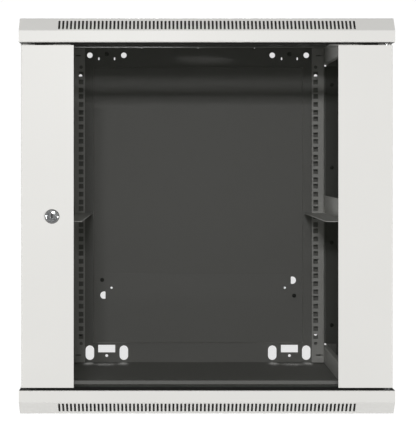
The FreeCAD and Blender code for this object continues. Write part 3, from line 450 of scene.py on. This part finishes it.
@dataclass(frozen=True)
class SmokedGlass:
    """Grey-tinted sheet glass, denser at its ground edges, with painted light along two level lines.

    A hold is the share of light that the glass keeps back. A line has its lower height, its upper height and its
    strength.
    """

    name: str
    tint: Colour = (0.012, 0.014, 0.009)
    edge: Colour = (0.05, 0.08, 0.065)
    band: Colour = (0.16, 0.16, 0.152)
    hold: float = 0.15
    edge_hold: float = 0.92
    band_hold: float = 0.5
    polish: float = 0.01
    ground: float = 0.3
    wipe: float = 0.02
    wipe_size: float = 0.05
    wipe_stretch: Colour = (1.0, 1.0, 0.25)
    refraction: float = 1.5
    lines: tuple[tuple[float, float, float], ...] = ((-0.5674, -0.562, 1.0), (-0.0302, -0.0288, 0.3))

    def material(self) -> bpy.types.Material:
        """Build the finish.

        Returns:
            The material.
        """
        tree = ShaderTree(self.name)
        rim = (1.0 - tree.facing(1).size()).at_least(0.0)
        wiped = tree.noise(self.wipe_size, detail=3.0, stretch=self.wipe_stretch)
        height = tree.place(2)
        # Painted light: along two level lines the glass turns a lighter grey and denser, standing in for a lit
        # strip near the bottom and a thin bright line near the top seen through it.
        shares = [(height > low) * (high - height > 0.0) * share for low, high, share in self.lines]
        level = sum(shares[1:], shares[0]) * (1.0 - rim)
        return tree.finish({
            "Base Color": tree.mixed(level, tree.mixed(rim, self.tint, self.edge), self.band),
            "Roughness": (rim + level) * self.ground + wiped * self.wipe + self.polish,
            "Alpha": rim * (self.edge_hold - self.hold) + level * (self.band_hold - self.hold) + self.hold,
            "IOR": self.refraction,
        })


@dataclass(frozen=True)
class Metal:
    """Bare or plated metal: fine brushing along one axis, cloudy roughness and a second tint in patches."""

    name: str
    colour: Colour
    patch: Colour
    roughness: float
    cloud: float = 0.12
    cloud_size: float = 0.006
    brushing: float = 0.08
    brush_size: float = 0.0004
    brush_stretch: Colour = (1.0, 1.0, 0.08)
    depth: float = 0.000004

    def material(self) -> bpy.types.Material:
        """Build the finish.

        Returns:
            The material.
        """
        tree = ShaderTree(self.name)
        clouds = tree.noise(self.cloud_size, detail=3.0)
        lines = tree.noise(self.brush_size, stretch=self.brush_stretch)
        return tree.finish({
            "Base Color": tree.mixed(clouds, self.colour, self.patch),
            "Metallic": 1.0,
            "Roughness": (clouds - 0.5) * self.cloud + (lines - 0.5) * self.brushing + self.roughness,
            "Normal": tree.bump(lines, self.depth),
        })


@dataclass(frozen=True)
class Moulded:
    """Moulded plastic or rubber with a fine matt texture."""

    name: str
    colour: Colour
    roughness: float
    grain_size: float = 0.0007
    grain_gloss: float = 0.15
    depth: float = 0.00002
    drift_size: float = 0.02
    drift_shade: float = 0.15

    def material(self) -> bpy.types.Material:
        """Build the finish.

        Returns:
            The material.
        """
        tree = ShaderTree(self.name)
        grain = tree.noise(self.grain_size)
        return tree.finish({
            "Base Color": tree.shades(tree.noise(self.drift_size), self.colour, self.drift_shade),
            "Roughness": (grain - 0.5) * self.grain_gloss + self.roughness,
            "Normal": tree.bump(grain, self.depth),
        })


@dataclass(frozen=True)
class Paper:
    """Plain pale studio surface with a glow of its own, so that it stays near white."""

    name: str
    colour: Colour
    glow: float
    roughness: float = 0.9

    def material(self) -> bpy.types.Material:
        """Build the finish.

        Returns:
            The material.
        """
        tree = ShaderTree(self.name)
        white = (*self.colour, 1.0)
        return tree.finish({"Base Color": white, "Roughness": self.roughness, "Emission Color": white,
                            "Emission Strength": self.glow})


class Finishes:
    """The finishes by the record's slot names, each built once."""

    def __init__(self) -> None:
        """Build every finish."""
        kinds = (
            PowderCoat("powder_coat"),
            # Painted shade: the panels get a darker grey on their inward faces.
            ShellCoat("shell_coat"),
            # Painted shade: the uprights' inward faces are near black, for the shade that falls on them.
            ShellCoat("post_coat", painted_shade_colour=(0.13, 0.129, 0.124)),
            # Painted shade: covers and plates inside get a dark grey that stands in for the shade in the cabinet.
            PowderCoat("painted_shade_coat", (0.3, 0.298, 0.286), roughness=0.55),
            # Painted shade: rails, beams and braces are a little darker than the outside coat, for the shade inside
            # the cabinet.
            PowderCoat("rail_coat", (0.68, 0.677, 0.652), roughness=0.55),
            # Painted shade: the bar coats are near black inside the bars and under their inner edges.
            BarCoat("top_bar_coat"),
            BarCoat("bottom_bar_coat", outward=-1.0),
            SmokedGlass("tinted_glass"),
            Metal("lock_chrome", (0.68, 0.69, 0.7), (0.62, 0.63, 0.64), 0.17, cloud=0.06, depth=0.000001),
            Metal("zinc", (0.6, 0.61, 0.62), (0.7, 0.69, 0.64), 0.36),
            Metal("spring_steel", (0.42, 0.42, 0.43), (0.5, 0.49, 0.47), 0.3),
            Metal("brass_nut", (0.72, 0.55, 0.26), (0.66, 0.47, 0.2), 0.32),
            Metal("dark_screw", (0.03, 0.03, 0.032), (0.05, 0.048, 0.045), 0.4),
            Moulded("dark_plastic", (0.03, 0.03, 0.032), 0.5),
            Moulded("bush_plastic", (0.03, 0.03, 0.03), 0.45),
            Moulded("buffer_rubber", (0.025, 0.025, 0.025), 0.75),
            Moulded("foam_tape", (0.04, 0.04, 0.04), 0.85, grain_size=0.0005, depth=0.00006),
        )
        self.by_slot = {kind.name: kind.material() for kind in kinds}

    def wear(self, piece: bpy.types.Object, slot: str, finish: str = "") -> None:
        """Give a piece or a CAD node the finish of one slot.

        Args:
            piece: The object.
            slot: The record's slot name.
            finish: Name of the finish if it isn't the slot's own.
        """
        piece.data.materials.clear()
        piece.data.materials.append(self.by_slot[finish or slot])


@dataclass(frozen=True)
class Extent:
    """The box round a CAD node or one of its solids."""

    low: Vector
    high: Vector

    @classmethod
    def of(cls, node: str) -> "Extent":
        """Find the box of a CAD node at rest.

        Args:
            node: The node's name.

        Returns:
            The box.
        """
        low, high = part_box(node)
        return cls(Vector(low), Vector(high))

    @property
    def middle(self) -> Vector:
        """Its middle."""
        return (self.low + self.high) / 2

    @property
    def size(self) -> Vector:
        """Its size along each axis."""
        return self.high - self.low

    def along(self, direction: Vector) -> tuple[float, float]:
        """Where it starts and ends along one of the axes.

        Args:
            direction: The axis, with its sign.

        Returns:
            The two ends, the lower one first.
        """
        first, second = sorted((self.low.dot(direction), self.high.dot(direction)))
        return first, second


def solids_of(node: str) -> list[Extent]:
    """Find the separate solids of a CAD node.

    Args:
        node: The node's name.

    Returns:
        The box round each solid, sorted by place.
    """
    mesh = bmesh.new()
    mesh.from_mesh(frame["nodes"][node].data)
    bmesh.ops.remove_doubles(mesh, verts=mesh.verts, dist=MERGE_DISTANCE)
    waiting = set(mesh.verts)
    solids = []
    while waiting:
        group = [waiting.pop()]
        for vert in group:
            for edge in vert.link_edges:
                other = edge.other_vert(vert)
                if other in waiting:
                    waiting.discard(other)
                    group.append(other)
        low = Vector([min(vert.co[axis] for vert in group) for axis in range(3)])
        high = Vector([max(vert.co[axis] for vert in group) for axis in range(3)])
        solids.append(Extent(low, high))
    mesh.free()
    return sorted(solids, key=lambda solid: tuple(solid.low))


def turned(start: Vector, direction: Vector) -> Matrix:
    """Place of a shape that is built on +Z from the origin.

    Args:
        start: Where its origin goes.
        direction: Where its +Z goes.

    Returns:
        The transform.
    """
    return Matrix.Translation(start) @ direction.to_track_quat("Z", "Y").to_matrix().to_4x4()


def linked(name: str, data: bpy.types.ID) -> bpy.types.Object:
    """Put an object into the scene.

    Args:
        name: Its name.
        data: Its mesh, light or camera.

    Returns:
        The object.
    """
    made = bpy.data.objects.new(name, data)
    bpy.context.scene.collection.objects.link(made)
    return made


def piece_of(name: str, mesh: bmesh.types.BMesh, body: str, finishes: Finishes, slot: str,
             nodes: tuple[str, ...] = ()) -> bpy.types.Object:
    """Turn a finished mesh into a piece that rides on a body.

    Args:
        name: The piece's name.
        mesh: Its mesh, in the frame; it is freed.
        body: The body that it rides on.
        finishes: The finishes.
        slot: The slot of its finish.
        nodes: CAD nodes that it replaces.

    Returns:
        The object.
    """
    bmesh.ops.recalc_face_normals(mesh, faces=mesh.faces)
    data = bpy.data.meshes.new(name)
    mesh.to_mesh(data)
    mesh.free()
    data.shade_smooth()
    data.set_sharp_from_angle(angle=SHARP_ANGLE)
    piece = linked(name, data)
    finishes.wear(piece, slot)
    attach(piece, body)
    if nodes:
        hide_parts(*nodes)
    log.info("%s rides on %s with %d faces", name, body, len(data.polygons))
    return piece


def disc(mesh: bmesh.types.BMesh, radius: float, sides: int) -> bmesh.types.BMFace:
    """Start a shape on +Z with a filled disc at the origin.

    Args:
        mesh: The mesh that gets it.
        radius: Its radius.
        sides: Its number of sides.

    Returns:
        The disc's face.
    """
    made = bmesh.ops.create_circle(mesh, cap_ends=True, radius=radius, segments=sides)
    return made["verts"][0].link_faces[0]


def raised(mesh: bmesh.types.BMesh, face: bmesh.types.BMFace, height: float) -> bmesh.types.BMFace:
    """Extrude a face along +Z.

    Args:
        mesh: The face's mesh.
        face: The face.
        height: How far, negative for down.

    Returns:
        The moved face.
    """
    made = bmesh.ops.extrude_face_region(mesh, geom=[face])
    verts = [item for item in made["geom"] if isinstance(item, bmesh.types.BMVert)]
    top = [item for item in made["geom"] if isinstance(item, bmesh.types.BMFace)][0]
    bmesh.ops.translate(mesh, verts=verts, vec=(0, 0, height))
    return top


def rounded(mesh: bmesh.types.BMesh, edges: list[bmesh.types.BMEdge], width: float, segments: int) -> None:
    """Bevel some edges.

    Args:
        mesh: The edges' mesh.
        edges: The edges.
        width: Width of the bevel.
        segments: Its number of steps.
    """
    bmesh.ops.bevel(mesh, geom=edges, offset=width, affect="EDGES", segments=segments, profile=0.5, material=-1)


def circle(radius: float) -> Outline:
    """Outline of a circle.

    Args:
        radius: Its radius.

    Returns:
        The radius over the angle.
    """
    return lambda angle: radius


def polygon(sides: int, flats: float) -> Outline:
    """Outline of a regular polygon with a corner at angle 0.

    Args:
        sides: Its number of sides.
        flats: Width across its flats.

    Returns:
        The radius over the angle.
    """
    part = 2 * math.pi / sides
    return lambda angle: flats / 2 / math.cos(angle % part - part / 2)


def stadium(half_width: float, half_height: float) -> Outline:
    """Outline of an upright slot with round ends.

    Args:
        half_width: Half its width along X.
        half_height: Half its height along Y.

    Returns:
        The radius over the angle.
    """
    straight = half_height - half_width

    def radius(angle: float) -> float:
        """Radius of the slot's outline.

        Args:
            angle: The angle round +Z.

        Returns:
            The radius.
        """
        across, along = abs(math.cos(angle)), abs(math.sin(angle))
        if along * half_width <= straight * across:
            return half_width / across
        return straight * along + math.sqrt(half_width ** 2 - (straight * across) ** 2)

    return radius


@dataclass
class Loft:
    """A skin through rings that follow each other round +Z."""

    steps: int = 48
    mesh: bmesh.types.BMesh = field(default_factory=bmesh.new)
    rings: list[list[bmesh.types.BMEdge]] = field(default_factory=list)

    def ring(self, outline: Outline, height: float, rise: Outline | None = None) -> "Loft":
        """Add a ring and join it to the one before.

        Args:
            outline: Its radius over the angle.
            height: Its height.
            rise: What is added to its height over the angle.

        Returns:
            The loft.
        """
        verts = bmesh.ops.create_circle(self.mesh, cap_ends=False, radius=1.0, segments=self.steps)["verts"]
        for vert in verts:
            angle = math.atan2(vert.co.y, vert.co.x)
            radius = outline(angle)
            level = height + (rise(angle) if rise else 0.0)
            vert.co = Vector((math.cos(angle) * radius, math.sin(angle) * radius, level))
        self.rings.append(list({edge for vert in verts for edge in vert.link_edges}))
        if len(self.rings) > 1:
            bmesh.ops.bridge_loops(self.mesh, edges=self.rings[-2] + self.rings[-1])
        return self

    def turned_profile(self, points: Profile) -> "Loft":
        """Add a round ring for each point of a profile.

        Args:
            points: Radius and height of each, in millimetres.

        Returns:
            The loft.
        """
        for radius, height in points:
            self.ring(circle(radius * MM), height * MM)
        return self

    def closed(self) -> "Loft":
        """Join the last ring to the first, so the skin has a bore.

        Returns:
            The loft.
        """
        bmesh.ops.bridge_loops(self.mesh, edges=self.rings[-1] + self.rings[0])
        return self

    def capped(self) -> "Loft":
        """Fill the first and the last ring, so the skin is solid.

        Returns:
            The loft.
        """
        for edges in (self.rings[0], self.rings[-1]):
            bmesh.ops.holes_fill(self.mesh, edges=edges, sides=0)
        return self

    def put(self, target: bmesh.types.BMesh, place: Matrix) -> None:
        """Add the finished shape to a mesh.

        Args:
            target: The mesh that gets it.
            place: Where it goes.
        """
        self.mesh.transform(place)
        merge(target, self.mesh)


@dataclass
class HexNut:
    """Hexagon nut with both faces chamfered, from the origin along +Z."""

    flats: float
    height: float
    bore: float
    slope: float = 0.55
    face_share: float = 0.97

    def add(self, mesh: bmesh.types.BMesh, place: Matrix) -> None:
        """Add one nut.

        Args:
            mesh: The mesh that gets it.
            place: Where it goes.
        """
        hexagon = polygon(6, self.flats)
        face = self.flats / 2 * self.face_share
        loft = Loft()
        loft.ring(circle(self.bore), 0.0)
        loft.ring(circle(face), 0.0)
        loft.ring(hexagon, 0.0, lambda angle: (hexagon(angle) - face) * self.slope)
        loft.ring(hexagon, self.height, lambda angle: (face - hexagon(angle)) * self.slope)
        loft.ring(circle(face), self.height)
        loft.ring(circle(self.bore), self.height)
        loft.closed().put(mesh, place)


@dataclass
class SocketScrew:
    """Low round-headed screw with a socket, head on +Z and shank on -Z."""

    head_radius: float
    head_height: float
    shank_radius: float
    shank_length: float
    sides: int = 28
    rim_share: float = 0.62
    socket_share: float = 0.7
    round_share: float = 0.55

    def add(self, mesh: bmesh.types.BMesh, place: Matrix) -> None:
        """Add one screw.

        Args:
            mesh: The mesh that gets it.
            place: Where it goes.
        """
        part = bmesh.new()
        top = raised(part, disc(part, self.head_radius, self.sides), self.head_height)
        bmesh.ops.inset_individual(part, faces=[top], thickness=self.head_radius * self.rim_share)
        raised(part, top, -self.head_height * self.socket_share)
        near_top, near_side = self.head_height * 0.99, self.head_radius * 0.95
        rim = [edge for edge in part.edges
               if all(vert.co.z > near_top and vert.co.xy.length > near_side for vert in edge.verts)]
        rounded(part, rim, self.head_height * self.round_share, 4)
        shank = bmesh.new()
        raised(shank, disc(shank, self.shank_radius, self.sides // 2), -self.shank_length)
        merge(part, shank)
        part.transform(place)
        merge(mesh, part)


@dataclass
class HexBolt:
    """Hexagon bolt with a washer face, head on -Z from the origin and shank on +Z."""

    flats: float
    head_height: float
    shank_radius: float
    shank_length: float
    head_round: float = 0.07
    tip_round: float = 0.2

    def add(self, mesh: bmesh.types.BMesh, place: Matrix) -> None:
        """Add one bolt.

        Args:
            mesh: The mesh that gets it.
            place: Where it goes.
        """
        part = bmesh.new()
        corner = self.flats / math.sqrt(3)
        top = raised(part, disc(part, corner, 6), -self.head_height)
        rounded(part, list(top.edges), corner * self.head_round, 2)
        shank = bmesh.new()
        tip = raised(shank, disc(shank, self.shank_radius, 20), self.shank_length)
        rounded(shank, list(tip.edges), self.shank_radius * self.tip_round, 1)
        merge(part, shank)
        part.transform(place)
        merge(mesh, part)


def merge(target: bmesh.types.BMesh, part: bmesh.types.BMesh) -> None:
    """Add one mesh to another and free it.

    Args:
        target: The mesh that gets it.
        part: The mesh that is added.
    """
    data = bpy.data.meshes.new("part")
    part.to_mesh(data)
    part.free()
    target.from_mesh(data)
    bpy.data.meshes.remove(data)


@dataclass
class CabinetShell:
    """The fixed sheet-metal body with its screws and plugs."""

    finishes: Finishes
    screw_head: float = 2.0 * MM
    shank_radius: float = 2.9 * MM
    plug_dome: float = 1.6

    def build(self) -> None:
        """Make the screws of the rear panel and of the cable cover, the plugs and the buffers."""
        for node in ("rear_panel_screws", "cable_cover_screws"):
            mesh = bmesh.new()
            for solid in solids_of(node):
                seat = Vector((solid.middle.x, solid.low.y + self.screw_head, solid.middle.z))
                screw = SocketScrew(solid.size.x / 2, self.screw_head, self.shank_radius, solid.high.y - seat.y)
                screw.add(mesh, turned(seat, FORWARD))
            piece_of(node + "_fine", mesh, "cabinet", self.finishes, "dark_screw", (node,))
        self._plugs()
        self._buffers()

    def _plugs(self) -> None:
        """Make the domed hole plugs."""
        mesh = bmesh.new()
        for solid in solids_of("hole_plugs"):
            seat = Vector((solid.middle.x, solid.low.y + self.plug_dome * MM, solid.middle.z))
            depth = (solid.high.y - seat.y) / MM
            cap = solid.size.x / 2 / MM
            plug = Loft(steps=32).turned_profile((
                (1.2, -depth), (2.2, -depth + 0.3), (2.4, 0.0), (cap, 0.0), (cap, 0.35), (cap - 0.35, 0.8),
                (cap - 1.0, 1.2), (cap - 2.0, 1.48), (cap - 3.2, self.plug_dome)))
            plug.capped().put(mesh, turned(seat, FORWARD))
        piece_of("hole_plugs_fine", mesh, "cabinet", self.finishes, "dark_plastic", ("hole_plugs",))

    def _buffers(self) -> None:
        """Make the rubber door buffers."""
        mesh = bmesh.new()
        for solid in solids_of("door_buffers"):
            seat = Vector((solid.middle.x, solid.high.y, solid.middle.z))
            base, height = solid.size.x / 2 / MM, solid.size.y / MM
            pad = Loft(steps=32).turned_profile((
                (base, 0.0), (base, 0.9), (base - 0.5, 1.5), (base - 0.7, height - 1.8),
                (base - 1.0, height - 1.0), (base - 1.6, height - 0.4), (base - 2.6, height)))
            pad.capped().put(mesh, turned(seat, FORWARD))
        piece_of("door_buffers_fine", mesh, "cabinet", self.finishes, "buffer_rubber", ("door_buffers",))


@dataclass
class RackFrame:
    """Rails, beams and braces with the bolts that join them."""

    finishes: Finishes
    head_height: float = 4.0 * MM
    shank_radius: float = 2.9 * MM
    nut_play: float = 0.1 * MM

    def build(self) -> None:
        """Make the bolts and nuts."""
        bolts = bmesh.new()
        for solid in solids_of("frame_bolts"):
            side = Side.RIGHT if solid.low.x > 0 else Side.LEFT
            inner, outer = (solid.low.x, solid.high.x)[::side.value]
            seat = Vector((inner + side.value * self.head_height, solid.middle.y, solid.middle.z))
            flats = min(solid.size.y, solid.size.z)
            bolt = HexBolt(flats, self.head_height, self.shank_radius, abs(outer - seat.x))
            bolt.add(bolts, turned(seat, side.outward))
        piece_of("frame_bolts_fine", bolts, "cabinet", self.finishes, "zinc", ("frame_bolts",))
        nuts = bmesh.new()
        for solid in solids_of("frame_nuts"):
            nut = HexNut(solid.size.z, solid.size.x, self.shank_radius + self.nut_play)
            seat = Vector((solid.low.x, solid.middle.y, solid.middle.z))
            nut.add(nuts, turned(seat, Side.RIGHT.outward))
        piece_of("frame_nuts_fine", nuts, "cabinet", self.finishes, "zinc", ("frame_nuts",))


@dataclass
class DoorHinge:
    """The sprung upper hinge of the door."""

    finishes: Finishes
    turns: int = 6
    wire_radius: float = 0.6 * MM
    wire_sides: int = 10
    steps: int = 28
    travel: float = 10.0 * MM

    def build(self) -> None:
        """Wind the round coil in the place of the plain one, and give the piece a mesh of its own."""
        coil = Extent.of("hinge_spring")
        middle = coil.middle
        length = coil.size.z
        radius = coil.size.x / 2 - self.wire_radius
        mesh = bmesh.new()
        start = Vector((middle.x + radius, middle.y, coil.low.z + self.wire_radius))
        ring = bmesh.ops.create_circle(mesh, cap_ends=False, radius=self.wire_radius, segments=self.wire_sides)
        lay = Matrix.Translation(start) @ Matrix.Rotation(math.radians(90), 4, "X")
        bmesh.ops.transform(mesh, matrix=lay, verts=ring["verts"])
        count = self.turns * self.steps
        step = Vector((0, 0, (length - 2 * self.wire_radius) / count))
        bmesh.ops.spin(mesh, geom=list(mesh.edges), cent=(middle.x, middle.y, 0), axis=(0, 0, 1), dvec=step,
                       angle=2 * math.pi * self.turns, steps=count, use_merge=False)
        loose = [edge for edge in mesh.edges if len(edge.link_faces) == 1]
        bmesh.ops.holes_fill(mesh, edges=loose, sides=0)
        spring = piece_of("hinge_spring_fine", mesh, "door", self.finishes, "spring_steel", ("hinge_spring",))
        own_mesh(spring)


@dataclass
class GlassHolders:
    """Nuts of the clips that hold the glass on the door."""

    finishes: Finishes
    bore: float = 3.0 * MM

    def build(self) -> None:
        """Make the nuts."""
        mesh = bmesh.new()
        for solid in solids_of("glass_clip_nuts"):
            nut = HexNut(solid.size.z, solid.size.y, self.bore)
            nut.add(mesh, turned(Vector((solid.middle.x, solid.high.y, solid.middle.z)), FORWARD))
        piece_of("glass_clip_nuts_fine", mesh, "door", self.finishes, "zinc", ("glass_clip_nuts",))


@dataclass
class CamLock:
    """Cylinder lock: nose and threaded barrel, the nut on it, and the plug with its keyhole.

    Sizes are in millimetres. The names are those of the housing, the nut and the plug. Heights start at the seat of
    the nose, and the plug's edge is given from its radius and its front.
    """

    finishes: Finishes
    names: tuple[str, str, str]
    panel: str
    cylinder: str
    outward: Vector
    nose: float
    crown: Profile
    bore: float = 6.56
    bore_lip: float = 0.8
    barrel: float = 9.0
    barrel_play: float = 0.05
    thread: float = 0.4
    pitch: float = 1.0
    first_turn: float = 1.5
    bare_end: float = 0.6
    plug_radius: float = 6.5
    plug_edge: Profile = ((0.0, -0.35), (-0.12, -0.12), (-0.4, 0.0))
    face_radius: float = 4.9
    face_dish: float = 0.05
    tail_flats: float = 7.0
    key: tuple[float, float] = (1.35, 4.2)
    key_depth: float = 7.0
    key_lip: float = 0.25
    key_sink: float = 0.3
    shutter_levels: tuple[float, float] = (-1.4, -0.5)
    shutter_play: float = 0.05

    def build(self) -> None:
        """Make the housing, the plug, its shutter and the nut."""
        housing, nut, plug = self.names
        box = Extent.of(housing)
        start, end = box.along(self.outward)
        axis = box.middle - self.outward * box.middle.dot(self.outward)
        place = turned(axis + self.outward * (end - self.nose * MM), self.outward)
        depth = (end - start) / MM - self.nose
        self._housing(housing, place, depth)
        self._plug(plug, place, depth)
        self._shutter(plug, place)
        self._nut(nut, axis)

    def _housing(self, node: str, place: Matrix, depth: float) -> None:
        """Make the nose and the threaded barrel.

        Args:
            node: The CAD node.
            place: Where the seat of the nose lies.
            depth: Length of the barrel in millimetres.
        """
        root = self.barrel - self.thread
        threads = []
        turn = -self.first_turn
        while turn - self.pitch > -depth + self.bare_end:
            threads += [(self.barrel, turn), (root, turn - self.pitch / 2)]
            turn -= self.pitch
        loft = Loft().turned_profile((
            (self.bore, self.nose - self.bore_lip), *self.crown, (self.barrel, 0.0), *threads,
            (root, -depth + self.pitch / 2), (root, -depth), (self.bore, -depth)))
        mesh = bmesh.new()
        loft.closed().put(mesh, place)
        piece_of(node + "_fine", mesh, self.panel, self.finishes, "lock_chrome", (node,))

    def _plug(self, node: str, place: Matrix, depth: float) -> None:
        """Make the plug with its keyhole in front and its square tail behind.

        Args:
            node: The CAD node.
            place: Where the seat of the nose lies.
            depth: Length of the barrel in millimetres.
        """
        start, end = Extent.of(node).along(self.outward)
        front = self._front_of(node)
        tail = polygon(4, self.tail_flats * MM)
        mesh = bmesh.new()
        shaft = Loft(steps=40).ring(tail, front * MM - (end - start)).ring(tail, -depth * MM)
        shaft.capped().put(mesh, place @ Matrix.Rotation(math.radians(45), 4, "Z"))
        edge = ((self.plug_radius + out, front + up) for out, up in self.plug_edge)
        body = Loft(steps=64).turned_profile((
            (self.plug_radius, -depth), *edge, (self.face_radius, front - self.face_dish)))
        body.ring(self._keyhole(self.key_lip), (front - self.face_dish) * MM)
        body.ring(self._keyhole(0.0), (front - self.key_sink) * MM)
        body.ring(self._keyhole(0.0), (front - self.key_depth) * MM)
        body.capped().put(mesh, place)
        piece_of(node + "_fine", mesh, self.cylinder, self.finishes, "lock_chrome", (node,))

    def _shutter(self, node: str, place: Matrix) -> None:
        """Make the dark shutter behind the keyhole, partly a real dust shutter and partly painted shade: it is
        black so that the keyhole reads dark from every side.

        Args:
            node: The plug's CAD node.
            place: Where the seat of the nose lies.
        """
        front = self._front_of(node)
        loft = Loft(steps=40)
        for level in self.shutter_levels:
            loft.ring(self._keyhole(-self.shutter_play), (front + level) * MM)
        mesh = bmesh.new()
        loft.capped().put(mesh, place)
        # Black as painted shade, so that the keyhole reads dark.
        piece_of(node + "_shutter", mesh, self.cylinder, self.finishes, "dark_plastic")

    def _keyhole(self, growth: float) -> Outline:
        """Outline of the keyhole.

        Args:
            growth: How far it is widened on each side.

        Returns:
            The radius over the angle.
        """
        width, height = self.key
        return stadium((width + growth) * MM, (height + growth) * MM)

    def _front_of(self, node: str) -> float:
        """How far a node's front lies before the seat of the nose.

        Args:
            node: The CAD node.

        Returns:
            The distance in millimetres.
        """
        behind = Extent.of(self.names[0]).along(self.outward)[1] - Extent.of(node).along(self.outward)[1]
        return self.nose - behind / MM

    def _nut(self, node: str, axis: Vector) -> None:
        """Make the flat nut on the barrel.

        Args:
            node: The CAD node.
            axis: Where the lock's axis crosses the plane through the frame's origin.
        """
        box = Extent.of(node)
        start, end = box.along(self.outward)
        mesh = bmesh.new()
        nut = HexNut(box.size.z, end - start, (self.barrel + self.barrel_play) * MM)
        nut.add(mesh, turned(axis + self.outward * start, self.outward))
        piece_of(node + "_fine", mesh, self.panel, self.finishes, "zinc", (node,))


@dataclass
class LockShadeRing:
    """Dark rubber ring round the nose of the door's lock, put there as painted shade: it draws the thin dark line
    where the nose meets the door, in millimetres.
    """

    finishes: Finishes
    inner: float = 10.63
    outer: float = 11.5
    height: float = 0.7
    edge: float = 0.25

    def build(self) -> None:
        """Make the ring."""
        lock = Extent.of("lock_housing").middle
        seat = Vector((lock.x, Extent.of("door_strip_left").low.y, lock.z))
        ring = Loft().turned_profile((
            (self.inner, 0.0), (self.inner, self.height), (self.outer - self.edge, self.height),
            (self.outer, self.height - self.edge), (self.outer, 0.0)))
        mesh = bmesh.new()
        ring.closed().put(mesh, turned(seat, FORWARD))
        piece_of("lock_shade_ring", mesh, "door", self.finishes, "buffer_rubber")


@dataclass(frozen=True)
class Lamp:
    """One soft light that aims at the middle of the object."""

    name: str
    offset: tuple[float, float, float]
    size: tuple[float, float]
    power: float

    def hang(self, centre: Vector) -> None:
        """Put the light into the scene.

        Args:
            centre: The middle of the object, which the offset starts from.
        """
        data = bpy.data.lights.new(self.name, "AREA")
        data.shape = "RECTANGLE"
        data.size, data.size_y = self.size
        data.energy = self.power
        lamp = linked(self.name, data)
        lamp.location = centre + Vector(self.offset)
        lamp.rotation_euler = (centre - lamp.location).to_track_quat("-Z", "Y").to_euler()


@dataclass
class Studio:
    """Plain pale floor, soft light and the camera at the photograph's viewpoint, in metres."""

    distance: float = 1.75
    eye_x: float = -0.0698
    eye_height: float = 0.4076
    lens: float = 91.9
    sensor: float = 36.0
    shift: tuple[float, float] = (0.104, -0.129)
    reach: float = 60.0
    floor_drop: float = 1.1
    floor_half: float = 12.0
    floor_back: float = 11.6
    paper: Paper = Paper("studio_paper", (0.92, 0.92, 0.92), 0.95)
    air_light: float = 0.2
    air_seen: float = 1.03
    lamps: tuple[Lamp, ...] = (
        Lamp("left", (-2.4, -1.9, -0.35), (0.5, 1.0), 38.5),
        Lamp("right", (2.5, -1.9, -0.35), (0.5, 1.0), 43.0),
        Lamp("front", (-0.2, -2.8, 0.68), (0.4, 0.14), 24.0),
        Lamp("above", (0.0, 2.0, 1.7), (1.0, 1.0), 38.0),
    )

    def build(self, low: Vector, high: Vector) -> None:
        """Set the stage round the object.

        Args:
            low: The object's lowest corner.
            high: Its highest corner.
        """
        self._floor(low.z - self.floor_drop)
        self._air()
        for lamp in self.lamps:
            lamp.hang((low + high) / 2)
        self._camera(Vector((self.eye_x, low.y - self.distance, low.z + self.eye_height)))

    def _floor(self, height: float) -> None:
        """Lay the floor.

        Args:
            height: Its height.
        """
        mesh = bmesh.new()
        bmesh.ops.create_grid(mesh, x_segments=1, y_segments=1, size=self.floor_half)
        bmesh.ops.translate(mesh, verts=mesh.verts, vec=(0, self.floor_back, height))
        data = bpy.data.meshes.new("studio_floor")
        mesh.to_mesh(data)
        mesh.free()
        data.materials.append(self.paper.material())
        linked("studio_floor", data)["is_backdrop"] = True

    def _air(self) -> None:
        """Make the surroundings white to look at, and dimmer as light."""
        world = bpy.data.worlds.new("studio_air")
        bpy.context.scene.world = world
        tree = NodeTree(world)
        white = (1.0, 1.0, 1.0, 1.0)
        light, seen = (
            tree.node("ShaderNodeBackground", inputs={"Color": white, "Strength": strength}).outputs[0]
            for strength in (self.air_light, self.air_seen))
        path = tree.node("ShaderNodeLightPath").outputs["Is Camera Ray"]
        mix = tree.node("ShaderNodeMixShader", inputs={0: path, 1: light, 2: seen}).outputs[0]
        tree.node("ShaderNodeOutputWorld", inputs={0: mix})

    def _camera(self, place: Vector) -> None:
        """Set up the camera, level and looking straight back.

        Args:
            place: Where it stands.
        """
        data = bpy.data.cameras.new("camera")
        data.lens = self.lens
        data.sensor_width = self.sensor
        data.shift_x, data.shift_y = self.shift
        data.clip_end = self.reach
        camera = linked("camera", data)
        camera.location = place
        camera.rotation_euler = (math.radians(90), 0, 0)
        bpy.context.scene.camera = camera


def coat_of(node: str) -> str:
    """Find the special coat of a powder-coated CAD node.

    Args:
        node: The node's name.

    Returns:
        The name of the finish, empty for the plain coat.
    """
    if node in BAR_COATS:
        return BAR_COATS[node]
    return next((finish for finish, words in COAT_WORDS.items() if words & set(node.split("_"))), "")


def dress_nodes(finishes: Finishes) -> None:
    """Give every CAD node the finish of its slot in the record.

    Args:
        finishes: The finishes.
    """
    for entry in frame["record"]["subparts"]:
        node, slot = entry["node"], entry["material_slot"]
        finishes.wear(frame["nodes"][node], slot, coat_of(node) if slot == "powder_coat" else "")
    log.info("dressed %d nodes", len(frame["nodes"]))


def main() -> None:
    """Build and dress everything, then set the stage."""
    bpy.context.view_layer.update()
    bpy.context.scene.view_settings.view_transform = "Standard"
    finishes = Finishes()
    dress_nodes(finishes)
    for assembly in (CabinetShell, RackFrame, DoorHinge, GlassHolders):
        assembly(finishes).build()
    CamLock(finishes, ("lock_housing", "lock_nut", "lock_plug"), "door", "door_lock", FORWARD, nose=3.0,
            crown=DOOR_CROWN).build()
    # The dark ring is painted shade round the lock's nose.
    LockShadeRing(finishes).build()
    for side in Side:
        tag = side.name.lower()
        housing, nut, plug = (f"side_lock_{part}_{tag}" for part in ("housing", "nut", "plug"))
        CamLock(finishes, (housing, nut, plug), f"side_panel_{tag}", f"side_lock_{tag}", side.outward, nose=0.5,
                crown=SIDE_CROWN).build()
    Studio().build(*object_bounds())


if __name__ == "__main__":
    main()
